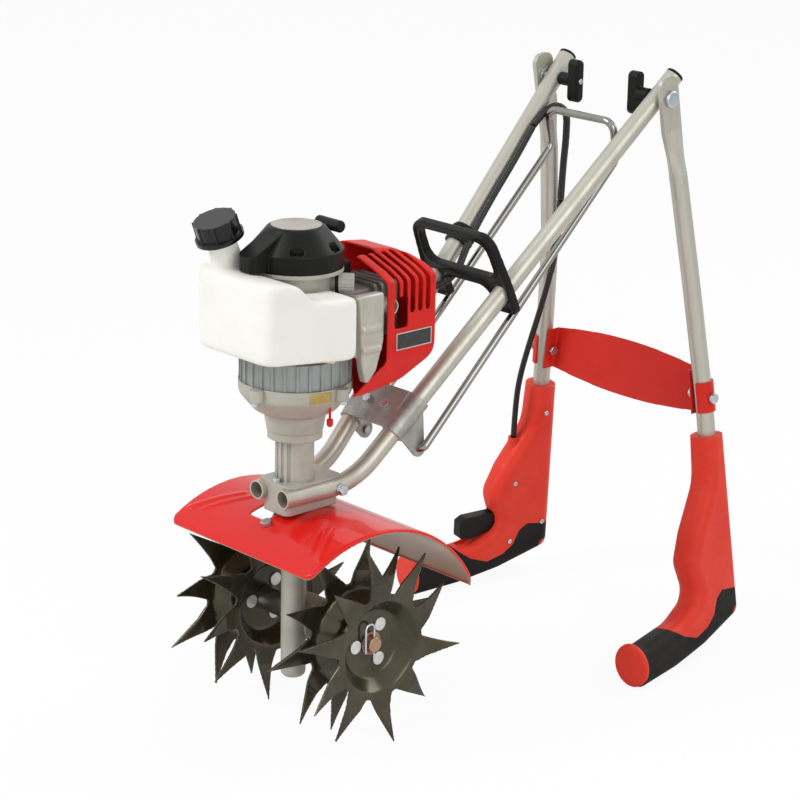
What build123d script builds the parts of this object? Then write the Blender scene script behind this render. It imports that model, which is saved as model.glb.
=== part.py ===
from build123d import *
import math
import os

os.makedirs("parts", exist_ok=True)

# Mini tiller with its handles folded down.
# Millimetres, Z up, fuel tank to the front (-Y), operator to the rear (+Y), floor at Z = 0.

# Axle and worm drive
axle_y = -180.87
axle_z = 102.0
axle_radius = 8.0
axle_overhang = 8.0
axle_chamfer = 1.0
worm_offset = 25.0
worm_radius = 7.6
worm_length = 34.0
worm_shaft_radius = 5.0
wheel_radius = 17.0
wheel_width = 12.0
wheel_teeth = 24
wheel_tooth_depth = 2.0
run_fit = 0.05
free_gap = 0.4
seat_gap = 0.05
case_wall = 5.0
case_half_width = 15.0
boss_radius = 14.0
boss_end = 25.0
worm_tube_radius = 12.5
worm_tube_bottom = 47.0
worm_floor = 6.0
journal_length = 8.0

# Tine stars
star_points = 10
tip_radius = 102.76
root_radius = 54.0
plate_thickness = 3.0
dish_depth = 16.0
dish_rim_radius = 47.0
dish_floor_radius = 34.0
hub_disc_radius = 29.0
hub_disc_width = 9.0
hub_disc_x = 74.0
hub_sleeve_radius = 13.0
tip_bend = 9.0
bend_radius = 66.0
tooth_lean = 6.0
tooth_half_angle = 17.0
tooth_sag = 1.5
outer_star_phase = 61.0
inner_star_phase = 9.0
rivet_circle_radius = 20.5
rivet_radius = 3.2
rivet_head_radius = 6.8
rivet_head_height = 1.8
rivet_count = 3
rivet_phase = 57.6
pin_wire = 1.3
pin_loop_radius = 7.0
pin_inset = 3.0

# Column, clamp and lower handles
tube_radius = 9.525
tube_wall = 1.6
clamp_run_z = 244.0
tube_front_x = 19.4
tube_front_run = 57.0
tube_corner_x = 23.9
tube_corner_run = 30.0
fold_x = 72.6
fold_run = 398.0
fold_z = 592.0
tube_bend_radius = 78.0
tube_end_reach = 28.0
plug_cap = 3.0
plug_depth = 12.0
clamp_front = 26.0
clamp_rear = 42.0
clamp_half_width = 25.0
clamp_upper_height = 11.0
clamp_lower_height = 19.6
clamp_lower_half_width = 19.0
clamp_corner = 7.0
column_radius = 19.0
column_height = 54.0
column_flutes = 4
flute_radius = 1.8
flute_start = 58.0
flute_spread = 64.0
neck_ring_radius = 26.8
neck_ring_height = 8.0
neck_flare_radius = 27.5
neck_flare_height = 17.0
neck_flare_angle = 10.0
column_bore = 9.0
bell_height = 34.0
clamp_bolt_run = 32.0
clamp_bolt_radius = 3.0
clamp_bolt_head = 5.5
clamp_bolt_head_height = 4.0
clamp_washer_radius = 6.0
clamp_washer_lift = 1.3
column_screw_run = 22.5
column_screw_radius = 4.0
column_screw_height = 4.0

# Fender
fender_half_width = 106.0
fender_thickness = 1.8
fender_front_run = 96.0
fender_front_z = 199.0
fender_crown_run = 4.0
fender_crown_z = 224.0
fender_rear_run = 121.0
fender_rear_z = 140.0
fender_lip_depth = 4.5
fender_corner = 9.0
fender_gap_x = -16.0
fender_gap_run = 44.0
fender_gap_width = 24.0
fender_gap_length = 27.0
fender_gap_corner = 4.0
crease_starts = ((98.0, -80.0), (80.0, -73.5))
crease_length = 58.0
crease_angle = 125.0
crease_width = 5.0
crease_height = 1.5
fender_bolt_run = 62.5
fender_bolt_x = 3.0
fender_lug_width = 13.0
fender_lug_drop = 26.0
fender_bolt_radius = 5.5
fender_bolt_shank = 3.0
fender_bolt_height = 4.0
fender_bolt_lift = 0.15
fender_bolt_length = 9.0

# Engine, along the upright crank axis; heights follow the joint face of bell and crankcase
neck_ring_z = clamp_run_z + column_height
bell_base_z = neck_ring_z + neck_ring_height + neck_flare_height
bell_top_z = bell_base_z + bell_height
bell_foot_radius = 31.0
bell_floor_radius = 41.0
bell_floor_z = bell_top_z - 29.0
bell_shoulder_z = bell_top_z - 12.0
bell_bowl = 12.0
bell_radius = 55.0
bell_wall = 3.0
bell_ear_radius = 7.0
bell_ear_offset = 2.0
bell_ears_count = 4
bell_ear_angle = 10.0
bell_screw_radius = 4.0
bell_screw_head = 3.5
drum_floor_z = bell_top_z - 20.0
drum_radius = 28.0
drum_height = 15.0
drum_wall = 2.5
shoe_height = 11.0
shoe_gap = 2.0
fan_radius = 46.0
fan_floor_z = bell_top_z + 2.0
fan_height = 16.0
fan_plate = 3.0
fan_blades = 12
fan_blade_thickness = 2.5
crank_radius = 6.0
crank_top_z = bell_top_z + 113.0
band_radius = 53.0
band_inner = 49.5
fan_head_room = 5.0
band_plate = 3.0
band_top_z = fan_floor_z + fan_height + fan_head_room + band_plate
band_ribs = 28
band_rib_width = 2.2
band_rib_height = 1.3
crankcase_radius = 34.0
case_cap_thickness = 4.0
oil_neck_angle = 43.0
oil_neck_z = bell_top_z + 95.5
oil_neck_root = 30.0
oil_neck_root_radius = 5.0
oil_neck_reach = 38.0
oil_neck_radius = 9.5
oil_plug_radius = 9.0
oil_plug_length = 14.0
oil_plug_grooves = 14
oil_plug_groove = 1.0
oil_seal_radius = 11.0
oil_seal_thickness = 3.0
cylinder_z = bell_top_z + 58.0
cylinder_half_width = 25.0
cylinder_half_height = 23.0
cylinder_rear = 80.0
fin_pitch = 9.0
fin_thickness = 3.0
fin_overhang = 4.0
fin_count = 4
plug_x = -8.0
plug_run = 41.0
plug_radius = 5.0
plug_length = 22.0
plug_hex = 8.0
plug_hex_height = 6.0
plug_boot_radius = 8.0
plug_boot_height = 17.0

# Cylinder cover
cover_near = 62.0
cover_far = -38.0
cover_front = 37.0
cover_rear = 101.0
cover_wall = 2.5
cover_roof_z = bell_top_z + 119.0
cover_eave_z = bell_top_z + 95.0
cover_skirt_z = bell_top_z + 16.0
cover_keel_z = bell_top_z - 20.0
cover_tail = 4.0
cover_cheek_run = 24.0
cover_cheek_z = bell_top_z + 4.0
cover_belly_run = 66.0
cover_belly_z = bell_top_z - 8.0
cover_ridge = 8.0
cover_round = 8.0
cover_open = 10.0
cover_bell_gap = 1.0
slot_width = 5.5
slot_pitch = 10.0
slot_inset = 10.5
slot_count = 5
slot_bottom_z = bell_top_z + 61.0
slot_reach = 46.0
window_front = 47.0
window_width = 17.0
window_bottom_z = bell_top_z + 48.0
window_height = 30.0
recess_length = 26.0
recess_width = 46.0
recess_x = -7.0

# Muffler
muffler_outer = 67.0
muffler_plate_inner = 56.0
muffler_inner = 34.0
muffler_front = -13.0
muffler_length = 37.0
muffler_lift = 0.6
muffler_top_z = bell_top_z + 83.0
muffler_corner = 9.0
muffler_edge = 3.0
muffler_plate = ((-4.0, 89.0), (29.0, 89.0), (29.0, 41.0), (20.0, 13.0), (7.0, -1.0), (2.0, 19.0))
muffler_bead_height = 2.0
muffler_bead_width = 4.0
muffler_bead_length = 24.0
muffler_bead_run = 13.0
muffler_bead_heights = (35.0, 55.0)
exhaust_radius = 9.0
exhaust_run = 9.0
outlet_radius = 8.0
outlet_wall = 1.5
outlet_x = 47.0
outlet_run = 47.0
outlet_z = bell_top_z + 69.0

# Fuel tank
tank_front = 106.0
tank_front_half = 52.0
tank_rear_half = 82.0
tank_shoulder = 28.0
tank_rear = 15.0
tank_notch_half = 37.0
tank_bottom_z = bell_top_z + 33.0
tank_top_z = bell_top_z + 114.5
tank_step_z = bell_top_z + 110.5
tank_limb_z = bell_top_z + 94.0
tank_step_run = 73.0
tank_limb_run = 60.0
tank_edge = 9.0
tank_round = 6.0
pad_radius = 6.0
pad_circle_radius = 49.0
neck_x = -36.0
neck_run = 69.7
neck_tilt = 20.0
neck_base_radius = 17.0
neck_radius = 14.0
neck_length = 71.0
neck_base_z = bell_top_z + 88.8
fuel_cap_radius = 20.5
fuel_cap_collar = 23.5
fuel_cap_collar_height = 4.0
fuel_cap_height = 21.0
fuel_cap_roof = 4.0
fuel_cap_ribs = 8
fuel_cap_rib_radius = 1.5

# Recoil starter
recoil_skirt_z = bell_top_z + 111.0
recoil_skirt_radius = 45.5
recoil_brim_z = bell_top_z + 128.0
recoil_top_z = bell_top_z + 150.0
recoil_top_radius = 27.0
recoil_wall = 2.5
recoil_lobe_reach = 63.5
recoil_lobe_half = 12.0
recoil_lobe_bottom_z = bell_top_z + 113.5
recoil_lobe_top_z = bell_top_z + 128.0
recoil_lobe_corner = 7.0
recoil_pocket_radius = 7.0
recoil_pocket_count = 6
recoil_pocket_angle = 20.0
recoil_pocket_floor = 34.0
reel_radius = 26.0
reel_height = 9.0
reel_flange = 2.0
reel_groove = 4.0
reel_z = bell_top_z + 116.0
post_radius = 6.0
pull_bar_length = 34.0
pull_bar_radius = 6.0
pull_x = -17.0
pull_run = 32.0
pull_z = bell_top_z + 139.0
pull_rise = 42.0
pull_boss_radius = 5.5
pull_boss_length = 26.0

# Carburettor and air cleaner on the far side
intake_z = bell_top_z + 57.0
intake_run = 52.0
carb_radius = 13.0
carb_length = 24.0
cleaner_width = 26.0
cleaner_length = 56.0
cleaner_height = 62.0
cleaner_round = 8.0
choke_length = 20.0
choke_width = 7.0
choke_thickness = 3.0
choke_pin = 3.0
choke_lift = 16.0
choke_run = 36.0

# Fold joint and upper handles
fold_bolt_radius = 4.0
fold_hole_gap = 0.08
fold_head_radius = 9.0
fold_head_height = 4.0
fold_plate_x = 85.6
fold_plate_thickness = 5.0
fold_plate_width = 26.0
fold_plate_above = 24.0
fold_plate_below = 34.0
spacer_radius = 9.0
knob_stem_radius = 7.0
knob_stem_length = 14.0
knob_bar_length = 45.0
knob_bar_width = 12.0
knob_bar_depth = 13.0
knob_gap = 1.0
upper_start = Vector(92.0, 414.0, 512.0)
upper_middle = Vector(102.5, 432.0, 395.0)
upper_root = Vector(117.0, 444.0, 279.0)
upper_bend_radius = 700.0
grip_drop = Vector(0.109, 0.076, -0.991).normalized()
upper_tail = 100.0

# Brace between the upper handles
brace_top_z = 306.0
brace_bottom_z = 246.0
brace_depth = 17.0
brace_sheet = 2.0
brace_gap = 0.6
brace_setback = 8.6
brace_bow = 2.5
brace_bolt_z = 274.0
brace_bolt_radius = 3.0
brace_bolt_head = 5.5
brace_bolt_head_height = 3.5
saddle_length = 33.0
saddle_wall = 2.2
brace_head_gap = 0.9

# Carry handle across the lower handles
carry_distance = 244.7
carry_lean = 24.3
carry_foot_half = 62.0
carry_foot_bottom = 22.0
carry_foot_top = 12.0
carry_top_half = 56.0
carry_top = 70.0
carry_top_round = 18.0
carry_hole_bottom = 20.0
carry_hole_top = 61.0
carry_hole_half = 50.0
carry_hole_top_half = 47.0
carry_arch_top = 7.0
carry_arch_half = 32.5
carry_thickness = 10.0
carry_web_thickness = 5.0
carry_corner = 13.0
carry_edge = 3.5

# Kickstand and its bracket
bracket_start = 62.0
bracket_length = 44.0
bracket_sheet = 2.5
bracket_screw_pitch = 26.0
bracket_screw_radius = 5.0
bracket_screw_height = 4.0
bracket_flange_x = 38.0
bracket_ear_radius = 9.0
stand_pivot = Vector(0.0, 103.0, 268.0)
stand_kink = Vector(46.0, 369.0, 526.0)
stand_top = Vector(46.0, 362.0, 566.0)
stand_wire = 4.0
stand_bend = 12.0
stand_stub = 11.0
stand_knee_bend = 5.5

# Grips
grip_across = Vector(0.149, -0.987, -0.059)
grip_half_thickness = 16.5
grip_round = 13.0
grip_top = 48.0
grip_bar_reach = 172.0
grip_profile = (
    (-14.0, -20.0), (14.0, -20.0), (20.0, -95.0), (54.0, -140.0), (70.0, -172.0), (57.0, -212.0),
    (96.0, -227.0), (200.0, -230.0), (200.0, -270.0), (110.0, -271.5), (55.0, -267.0), (-15.0, -253.0),
)
grip_profile_bends = (13.5, 13.5, 40.0, 24.0, 24.0, 14.0, 60.0, 18.0, 18.0, 60.0, 60.0, 14.0)
rubber_seam = (
    (-40.0, -214.0), (-5.0, -221.0), (20.0, -215.0), (31.0, -221.0), (39.0, -237.0), (53.0, -246.0),
    (75.0, -250.0), (98.0, -240.0), (119.5, -224.0), (240.0, -200.0), (240.0, -320.0), (0.0, -320.0),
    (0.0, -242.0), (-40.0, -242.0),
)
rubber_seam_bend = 4.0
grip_cap_drop = 246.5
grip_cap_width = 40.0
grip_cap_height = 47.0
grip_cap_thickness = 5.0

# Throttle trigger and stop switch on the right grip
trigger_pivot_reach = 48.0
trigger_pivot_drop = 204.0
trigger_hub = 8.0
trigger_tip_reach = 108.0
trigger_tip_top = 197.0
trigger_tip_bottom = 217.0
trigger_belly = 221.0
trigger_slot_floor = 231.0
trigger_half_thickness = 6.0
trigger_slot_gap = 0.6
trigger_pin_radius = 2.5
switch_reach = 18.0
switch_drop = 150.0
switch_length = 16.0
switch_width = 9.0
switch_height = 5.0
switch_travel = 6.0
switch_stem = 3.0
nub_reach = 35.0
nub_drop = 108.0
nub_length = 24.0
nub_radius = 6.0

# Throttle cable
conduit_radius = 3.6
conduit_waist = 3.0
cable_radius = 2.2
rib_pitch = 6.0
conduit_plain = 206.0
cable_ribbed = 84.0
clip_distance = 285.0
clip_ribs = 4
clip_pitch = 5.0
clip_wall = 3.0

column_y = axle_y - worm_offset
fold_y = axle_y + fold_run

# Gear housing: worm tube, wheel case with axle bosses, and the lower half of the handle clamp
wheel_cavity_radius = wheel_radius + free_gap
worm_cavity_radius = worm_radius + free_gap
case_radius = wheel_cavity_radius + case_wall
clamp_mid_y = column_y + (clamp_rear - clamp_front) / 2
clamp_length = clamp_front + clamp_rear
tube_front = Vector(tube_front_x, axle_y - tube_front_run, clamp_run_z)
tube_corner = Vector(tube_corner_x, axle_y + tube_corner_run, clamp_run_z)
fold_point = Vector(fold_x, fold_y, fold_z)
tube_rise = (fold_point - tube_corner).normalized()
tube_end = fold_point + tube_rise * tube_end_reach
clamp_bolt_y = column_y + clamp_bolt_run
clamp_bolt_plane = Plane((0, clamp_bolt_y, clamp_run_z), x_dir=(0, 1, 0), z_dir=(1, 0, 0))
tube_spread = (tube_corner.X - tube_front.X) / (tube_corner.Y - tube_front.Y)
clamp_bolt_x = tube_front.X + tube_spread * (clamp_bolt_y - tube_front.Y)

# The fender's arch, which the gear housing carries on a lug
fender_front = (axle_y - fender_front_run, fender_front_z)
fender_crown = (axle_y - fender_crown_run, fender_crown_z)
fender_rear = (axle_y + fender_rear_run, fender_rear_z)
fender_curve = ThreePointArc(fender_front, fender_crown, fender_rear)
fender_centre = fender_curve.arc_center
bolt_plane_y = axle_y - fender_bolt_run
bolt_plane_z = fender_centre.Y + (fender_curve.radius**2 - (bolt_plane_y - fender_centre.X) ** 2) ** 0.5
fender_bolt_point = Vector(fender_bolt_x, bolt_plane_y, bolt_plane_z)
fender_bolt_way = (fender_bolt_point - Vector(fender_bolt_x, fender_centre.X, fender_centre.Y)).normalized()
fender_bolt_plane = Plane(fender_bolt_point, x_dir=(1, 0, 0), z_dir=fender_bolt_way)

with BuildPart() as fender_lug:
    with BuildSketch(Plane.XY.offset(fender_crown_z - fender_lug_drop)) as lug_plan:
        with Locations((fender_bolt_x, (bolt_plane_y + column_y) / 2)):
            SlotCenterToCenter(column_y - bolt_plane_y, fender_lug_width, rotation=90)
    extrude(amount=fender_lug_drop)
    with BuildSketch(Plane.YZ) as sheet_underside:
        with Locations(fender_centre):
            Circle(fender_curve.radius - fender_thickness - seat_gap)
    extrude(amount=fender_half_width, both=True, mode=Mode.INTERSECT)
    with BuildSketch(fender_bolt_plane) as lug_drilling:
        Circle(fender_bolt_shank + seat_gap)
    extrude(amount=-fender_bolt_length, mode=Mode.SUBTRACT)

with BuildPart() as tube_space:
    with BuildLine() as tube_route:
        FilletPolyline(tube_front, tube_corner, tube_end, radius=tube_bend_radius)
    with BuildSketch(Plane(tube_front, z_dir=tube_corner - tube_front)) as tube_section:
        Circle(tube_radius + seat_gap)
    sweep()
    mirror(about=Plane.YZ)

with BuildPart() as gear_housing:
    with BuildSketch(Plane.XY.offset(worm_tube_bottom)) as worm_tube:
        with Locations((0, column_y)):
            Circle(worm_tube_radius)
    extrude(amount=clamp_run_z - worm_tube_bottom)
    fillet(gear_housing.faces().sort_by(Axis.Z)[0].edges(), worm_floor)
    with BuildSketch(Plane.YZ) as wheel_case:
        with Locations((axle_y, axle_z)):
            Circle(case_radius)
    extrude(amount=case_half_width, both=True)
    with BuildSketch(Plane.YZ) as axle_boss:
        with Locations((axle_y, axle_z)):
            Circle(boss_radius)
    extrude(amount=boss_end, both=True)
    with BuildSketch(Plane.XY.offset(clamp_run_z)) as clamp_seat:
        with Locations((0, clamp_mid_y)):
            RectangleRounded(2 * clamp_lower_half_width, clamp_length, clamp_corner)
    extrude(amount=-clamp_lower_height)
    add(fender_lug.part)
    with BuildSketch(Plane.XY.offset(worm_tube_bottom + worm_floor + journal_length)) as worm_bore:
        with Locations((0, column_y)):
            Circle(worm_cavity_radius)
    extrude(amount=clamp_run_z, mode=Mode.SUBTRACT)
    with BuildSketch(Plane.XY.offset(worm_tube_bottom + worm_floor)) as journal_bore:
        with Locations((0, column_y)):
            Circle(worm_shaft_radius + run_fit)
    extrude(amount=journal_length, mode=Mode.SUBTRACT)
    with BuildSketch(Plane.YZ) as wheel_cavity:
        with Locations((axle_y, axle_z)):
            Circle(wheel_cavity_radius)
    extrude(amount=wheel_width / 2 + free_gap, both=True, mode=Mode.SUBTRACT)
    with BuildSketch(Plane.YZ) as axle_bore:
        with Locations((axle_y, axle_z)):
            Circle(axle_radius + run_fit)
    extrude(amount=boss_end, both=True, mode=Mode.SUBTRACT)
    add(tube_space.part, mode=Mode.SUBTRACT)
    with BuildSketch(clamp_bolt_plane) as seat_drilling:
        Circle(clamp_bolt_radius + seat_gap)
    extrude(amount=clamp_half_width, both=True, mode=Mode.SUBTRACT)
gear_housing.part.label = "gear_housing"
export_step(gear_housing.part, "parts/gear_housing.step")

# Upper half of the handle clamp with the fluted drive column
with BuildPart() as drive_column:
    with BuildSketch(Plane.XY.offset(clamp_run_z)) as clamp_cap:
        with Locations((0, clamp_mid_y)):
            RectangleRounded(2 * clamp_half_width, clamp_length, clamp_corner)
    extrude(amount=clamp_upper_height)
    with BuildSketch(Plane.XY.offset(clamp_run_z)) as column_round:
        with Locations((0, column_y)):
            Circle(column_radius)
    extrude(amount=neck_ring_z - clamp_run_z)
    with BuildSketch(Plane.XY.offset(clamp_run_z + clamp_upper_height)) as flutes:
        with Locations((0, column_y)):
            for start in (flute_start, flute_start + 180):
                with PolarLocations(column_radius, column_flutes, start_angle=start,
                                    angular_range=flute_spread, endpoint=True):
                    Circle(flute_radius)
    extrude(amount=neck_ring_z - clamp_run_z - clamp_upper_height - flute_radius, mode=Mode.SUBTRACT)
    with BuildSketch(Plane.XY.offset(neck_ring_z)) as neck_ring:
        with Locations((0, column_y)):
            Circle(neck_ring_radius)
    extrude(amount=neck_ring_height)
    with BuildSketch(Plane.XY.offset(neck_ring_z + neck_ring_height)) as neck_flare:
        with Locations((0, column_y)):
            Circle(neck_flare_radius)
    extrude(amount=neck_flare_height, taper=-neck_flare_angle)
    with BuildSketch(Plane.XY.offset(clamp_run_z)) as shaft_bore:
        with Locations((0, column_y)):
            Circle(column_bore)
    extrude(amount=bell_base_z - clamp_run_z, mode=Mode.SUBTRACT)
    add(tube_space.part, mode=Mode.SUBTRACT)
    with BuildSketch(clamp_bolt_plane) as cap_drilling:
        Circle(clamp_bolt_radius + seat_gap)
    extrude(amount=clamp_half_width, both=True, mode=Mode.SUBTRACT)
drive_column.part.label = "drive_column"
export_step(drive_column.part, "parts/drive_column.step")

# Tine axle with its worm wheel, turning in the wheel case
axle_centre = Vector(0, axle_y, axle_z)
axle_line = Axis(axle_centre, (1, 0, 0))
star_floor_x = hub_disc_x + hub_disc_width
axle_end = star_floor_x + plate_thickness + axle_overhang
pin_x = axle_end - pin_inset
radial_plane = Plane(axle_centre, x_dir=(1, 0, 0), z_dir=(0, -1, 0))
wheel_plane = Plane(axle_centre, x_dir=(0, 1, 0), z_dir=(1, 0, 0))

with BuildPart() as tine_axle:
    with BuildSketch(wheel_plane) as axle_section:
        Circle(axle_radius)
    extrude(amount=axle_end, both=True)
    chamfer(tine_axle.edges().filter_by(GeomType.CIRCLE), axle_chamfer)
    with BuildSketch(Plane.XY.offset(axle_z)) as pin_holes:
        with Locations((pin_x, axle_y), (-pin_x, axle_y)):
            Circle(pin_wire + run_fit)
    extrude(amount=axle_radius, both=True, mode=Mode.SUBTRACT)
tine_axle.part.label = "tine_axle"
export_step(tine_axle.part, "parts/tine_axle.step")

with BuildPart() as worm_wheel:
    with BuildSketch(wheel_plane) as wheel_section:
        Circle(wheel_radius)
        with PolarLocations(wheel_radius, wheel_teeth):
            RegularPolygon(wheel_tooth_depth, 3, mode=Mode.SUBTRACT)
        Circle(axle_radius + seat_gap, mode=Mode.SUBTRACT)
    extrude(amount=wheel_width / 2, both=True)
worm_wheel.part.label = "worm_wheel"
export_step(worm_wheel.part, "parts/worm_wheel.step")

# One tooth: a curved leading edge and a straight trailing edge, its point on the local X axis
with BuildSketch() as tooth:
    with BuildLine() as tooth_edge:
        leading = Vector(root_radius - plate_thickness, 0).rotate(Axis.Z, tooth_half_angle - tooth_lean)
        trailing = Vector(root_radius - plate_thickness, 0).rotate(Axis.Z, -tooth_half_angle - tooth_lean)
        tip = Vector(tip_radius, 0)
        SagittaArc(tip, leading, tooth_sag)
        Line(leading, trailing)
        Line(trailing, tip)
    make_face()

def star_profile(floor_x, hollow, bend):
    rim_x = floor_x + hollow
    return [
        (floor_x, axle_radius + seat_gap),
        (floor_x, dish_floor_radius),
        (rim_x, dish_rim_radius),
        (rim_x, bend_radius),
        (rim_x + bend, tip_radius),
        (rim_x + bend + plate_thickness, tip_radius),
        (rim_x + plate_thickness, bend_radius),
        (rim_x + plate_thickness, dish_rim_radius),
        (floor_x + plate_thickness, dish_floor_radius),
        (floor_x + plate_thickness, axle_radius + seat_gap),
    ]

tooth_pairs = star_points // 2
tooth_pitch = 360 / star_points
star_span = 2 * (axle_end + tip_bend)

star_rings = []
for floor_x, hollow, phase in (
    (star_floor_x, dish_depth, outer_star_phase),
    (hub_disc_x - plate_thickness, -dish_depth, inner_star_phase),
):
    for turn, bend in enumerate((tip_bend, -tip_bend)):
        with BuildPart() as star_ring:
            with BuildSketch(radial_plane) as ring_section:
                Polygon(*star_profile(floor_x, hollow, bend), align=None)
            revolve(axis=axle_line)
            with BuildSketch(wheel_plane) as ring_outline:
                with PolarLocations(0, tooth_pairs, start_angle=phase + turn * tooth_pitch):
                    add(tooth.sketch)
                Circle(root_radius)
            extrude(amount=star_span, both=True, mode=Mode.INTERSECT)
            with BuildSketch(wheel_plane) as ring_holes:
                with PolarLocations(rivet_circle_radius, rivet_count, start_angle=rivet_phase):
                    Circle(rivet_radius + seat_gap)
            extrude(amount=star_span, both=True, mode=Mode.SUBTRACT)
        star_rings.append(star_ring.part)

with BuildPart() as tine_outer_left:
    add(star_rings[0])
    add(star_rings[1])
tine_outer_left.part.label = "tine_outer_left"
export_step(tine_outer_left.part, "parts/tine_outer_left.step")

with BuildPart() as tine_inner_left:
    add(star_rings[2])
    add(star_rings[3])
tine_inner_left.part.label = "tine_inner_left"
export_step(tine_inner_left.part, "parts/tine_inner_left.step")

with BuildPart() as tine_outer_right:
    mirror(tine_outer_left.part, about=Plane.YZ)
tine_outer_right.part.label = "tine_outer_right"
export_step(tine_outer_right.part, "parts/tine_outer_right.step")

with BuildPart() as tine_inner_right:
    mirror(tine_inner_left.part, about=Plane.YZ)
tine_inner_right.part.label = "tine_inner_right"
export_step(tine_inner_right.part, "parts/tine_inner_right.step")

# Hubs slide on the axle between the bosses and the stars
with BuildPart() as tine_hubs:
    with BuildSketch(wheel_plane.offset(boss_end + free_gap)) as hub_sleeve:
        Circle(hub_sleeve_radius)
    extrude(amount=hub_disc_x - boss_end - free_gap)
    with BuildSketch(wheel_plane.offset(hub_disc_x)) as hub_disc:
        Circle(hub_disc_radius)
        with PolarLocations(rivet_circle_radius, rivet_count, start_angle=rivet_phase):
            Circle(rivet_radius + seat_gap, mode=Mode.SUBTRACT)
    extrude(amount=hub_disc_width)
    with BuildSketch(wheel_plane) as hub_bore:
        Circle(axle_radius + seat_gap)
    extrude(amount=axle_end, mode=Mode.SUBTRACT)
    # The sleeve passes through the middle of the inner star
    with BuildSketch(wheel_plane.offset(hub_disc_x - plate_thickness)) as star_seat:
        Circle(hub_sleeve_radius)
        Circle(axle_radius, mode=Mode.SUBTRACT)
    extrude(amount=plate_thickness, mode=Mode.SUBTRACT)
    mirror(about=Plane.YZ)
tine_hubs.part.label = "tine_hubs"
export_step(tine_hubs.part, "parts/tine_hubs.step")

with BuildPart() as tine_rivets:
    with BuildSketch(wheel_plane.offset(hub_disc_x - plate_thickness)) as rivet_shanks:
        with PolarLocations(rivet_circle_radius, rivet_count, start_angle=rivet_phase):
            Circle(rivet_radius)
    extrude(amount=hub_disc_width + 2 * plate_thickness)
    with BuildSketch(wheel_plane.offset(star_floor_x + plate_thickness)) as outer_heads:
        with PolarLocations(rivet_circle_radius, rivet_count, start_angle=rivet_phase):
            Circle(rivet_head_radius)
    extrude(amount=rivet_head_height)
    with BuildSketch(wheel_plane.offset(hub_disc_x - plate_thickness)) as inner_heads:
        with PolarLocations(rivet_circle_radius, rivet_count, start_angle=rivet_phase):
            Circle(rivet_head_radius)
    extrude(amount=-rivet_head_height)
    mirror(about=Plane.YZ)
tine_rivets.part.label = "tine_rivets"
export_step(tine_rivets.part, "parts/tine_rivets.step")

# Hairpin clips through the ends of the axle
pin_reach = axle_radius + pin_loop_radius
pin_side = axle_radius + pin_wire + free_gap + pin_wire
with BuildPart() as axle_pins:
    with BuildLine() as pin_route:
        FilletPolyline(
            (pin_x, axle_y, axle_z - pin_reach),
            (pin_x, axle_y, axle_z + pin_reach + pin_loop_radius),
            (pin_x, axle_y - pin_side, axle_z + pin_reach + pin_loop_radius),
            (pin_x, axle_y - pin_side, axle_z - pin_loop_radius),
            radius=pin_side / 2 - pin_wire / 4,
        )
    with BuildSketch(Plane((pin_x, axle_y, axle_z - pin_reach), z_dir=(0, 0, 1))) as pin_section:
        Circle(pin_wire)
    sweep()
    mirror(about=Plane.YZ)
axle_pins.part.label = "axle_pins"
export_step(axle_pins.part, "parts/axle_pins.step")

# Worm shaft from the bottom journal up to the clutch drum
worm_foot_z = worm_tube_bottom + worm_floor
with BuildPart() as worm_shaft:
    with BuildSketch(Plane.XY.offset(worm_foot_z + free_gap)) as shaft_section:
        with Locations((0, column_y)):
            Circle(worm_shaft_radius)
    extrude(amount=drum_floor_z - worm_foot_z - free_gap)
    with BuildSketch(Plane.XY.offset(axle_z - worm_length / 2)) as worm_section:
        with Locations((0, column_y)):
            Circle(worm_radius)
    extrude(amount=worm_length)
worm_shaft.part.label = "worm_shaft"
export_step(worm_shaft.part, "parts/worm_shaft.step")

# Clutch drum on the worm shaft and the bell that covers clutch and fan
crank_point = Vector(0, column_y, 0)
crank_line = Axis(crank_point, (0, 0, 1))
crank_section_plane = Plane(crank_point, x_dir=(1, 0, 0), z_dir=(0, -1, 0))

with BuildPart() as clutch_drum:
    with BuildSketch(crank_section_plane) as drum_section:
        Polygon(
            (0, drum_floor_z),
            (drum_radius, drum_floor_z),
            (drum_radius, drum_floor_z + drum_height),
            (drum_radius - drum_wall, drum_floor_z + drum_height),
            (drum_radius - drum_wall, drum_floor_z + drum_wall),
            (0, drum_floor_z + drum_wall),
            align=None,
        )
    revolve(axis=crank_line)
clutch_drum.part.label = "clutch_drum"
export_step(clutch_drum.part, "parts/clutch_drum.step")

with BuildPart() as clutch_bell:
    with BuildSketch(crank_section_plane) as bell_section:
        with BuildLine() as bell_outline:
            FilletPolyline(
                (column_bore, bell_base_z),
                (bell_foot_radius, bell_base_z),
                (bell_floor_radius, bell_floor_z),
                (bell_radius, bell_shoulder_z),
                (bell_radius, bell_top_z),
                (bell_radius - bell_wall, bell_top_z),
                (bell_radius - bell_wall, bell_shoulder_z + bell_wall / 2),
                (drum_radius + bell_wall, bell_floor_z + bell_wall),
                (column_bore, bell_floor_z + bell_wall),
                radius=(0, 0, bell_bowl, bell_bowl) + 5 * (0,),
                close=True,
            )
        make_face()
    revolve(axis=crank_line)
    with BuildSketch(Plane.XY.offset(bell_shoulder_z)) as bell_ears:
        with Locations((0, column_y)):
            with PolarLocations(bell_radius + bell_ear_offset, bell_ears_count, start_angle=bell_ear_angle):
                Circle(bell_ear_radius)
            Circle(bell_radius - bell_wall, mode=Mode.SUBTRACT)
    extrude(amount=bell_top_z - bell_shoulder_z)
clutch_bell.part.label = "clutch_bell"
export_step(clutch_bell.part, "parts/clutch_bell.step")

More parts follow.
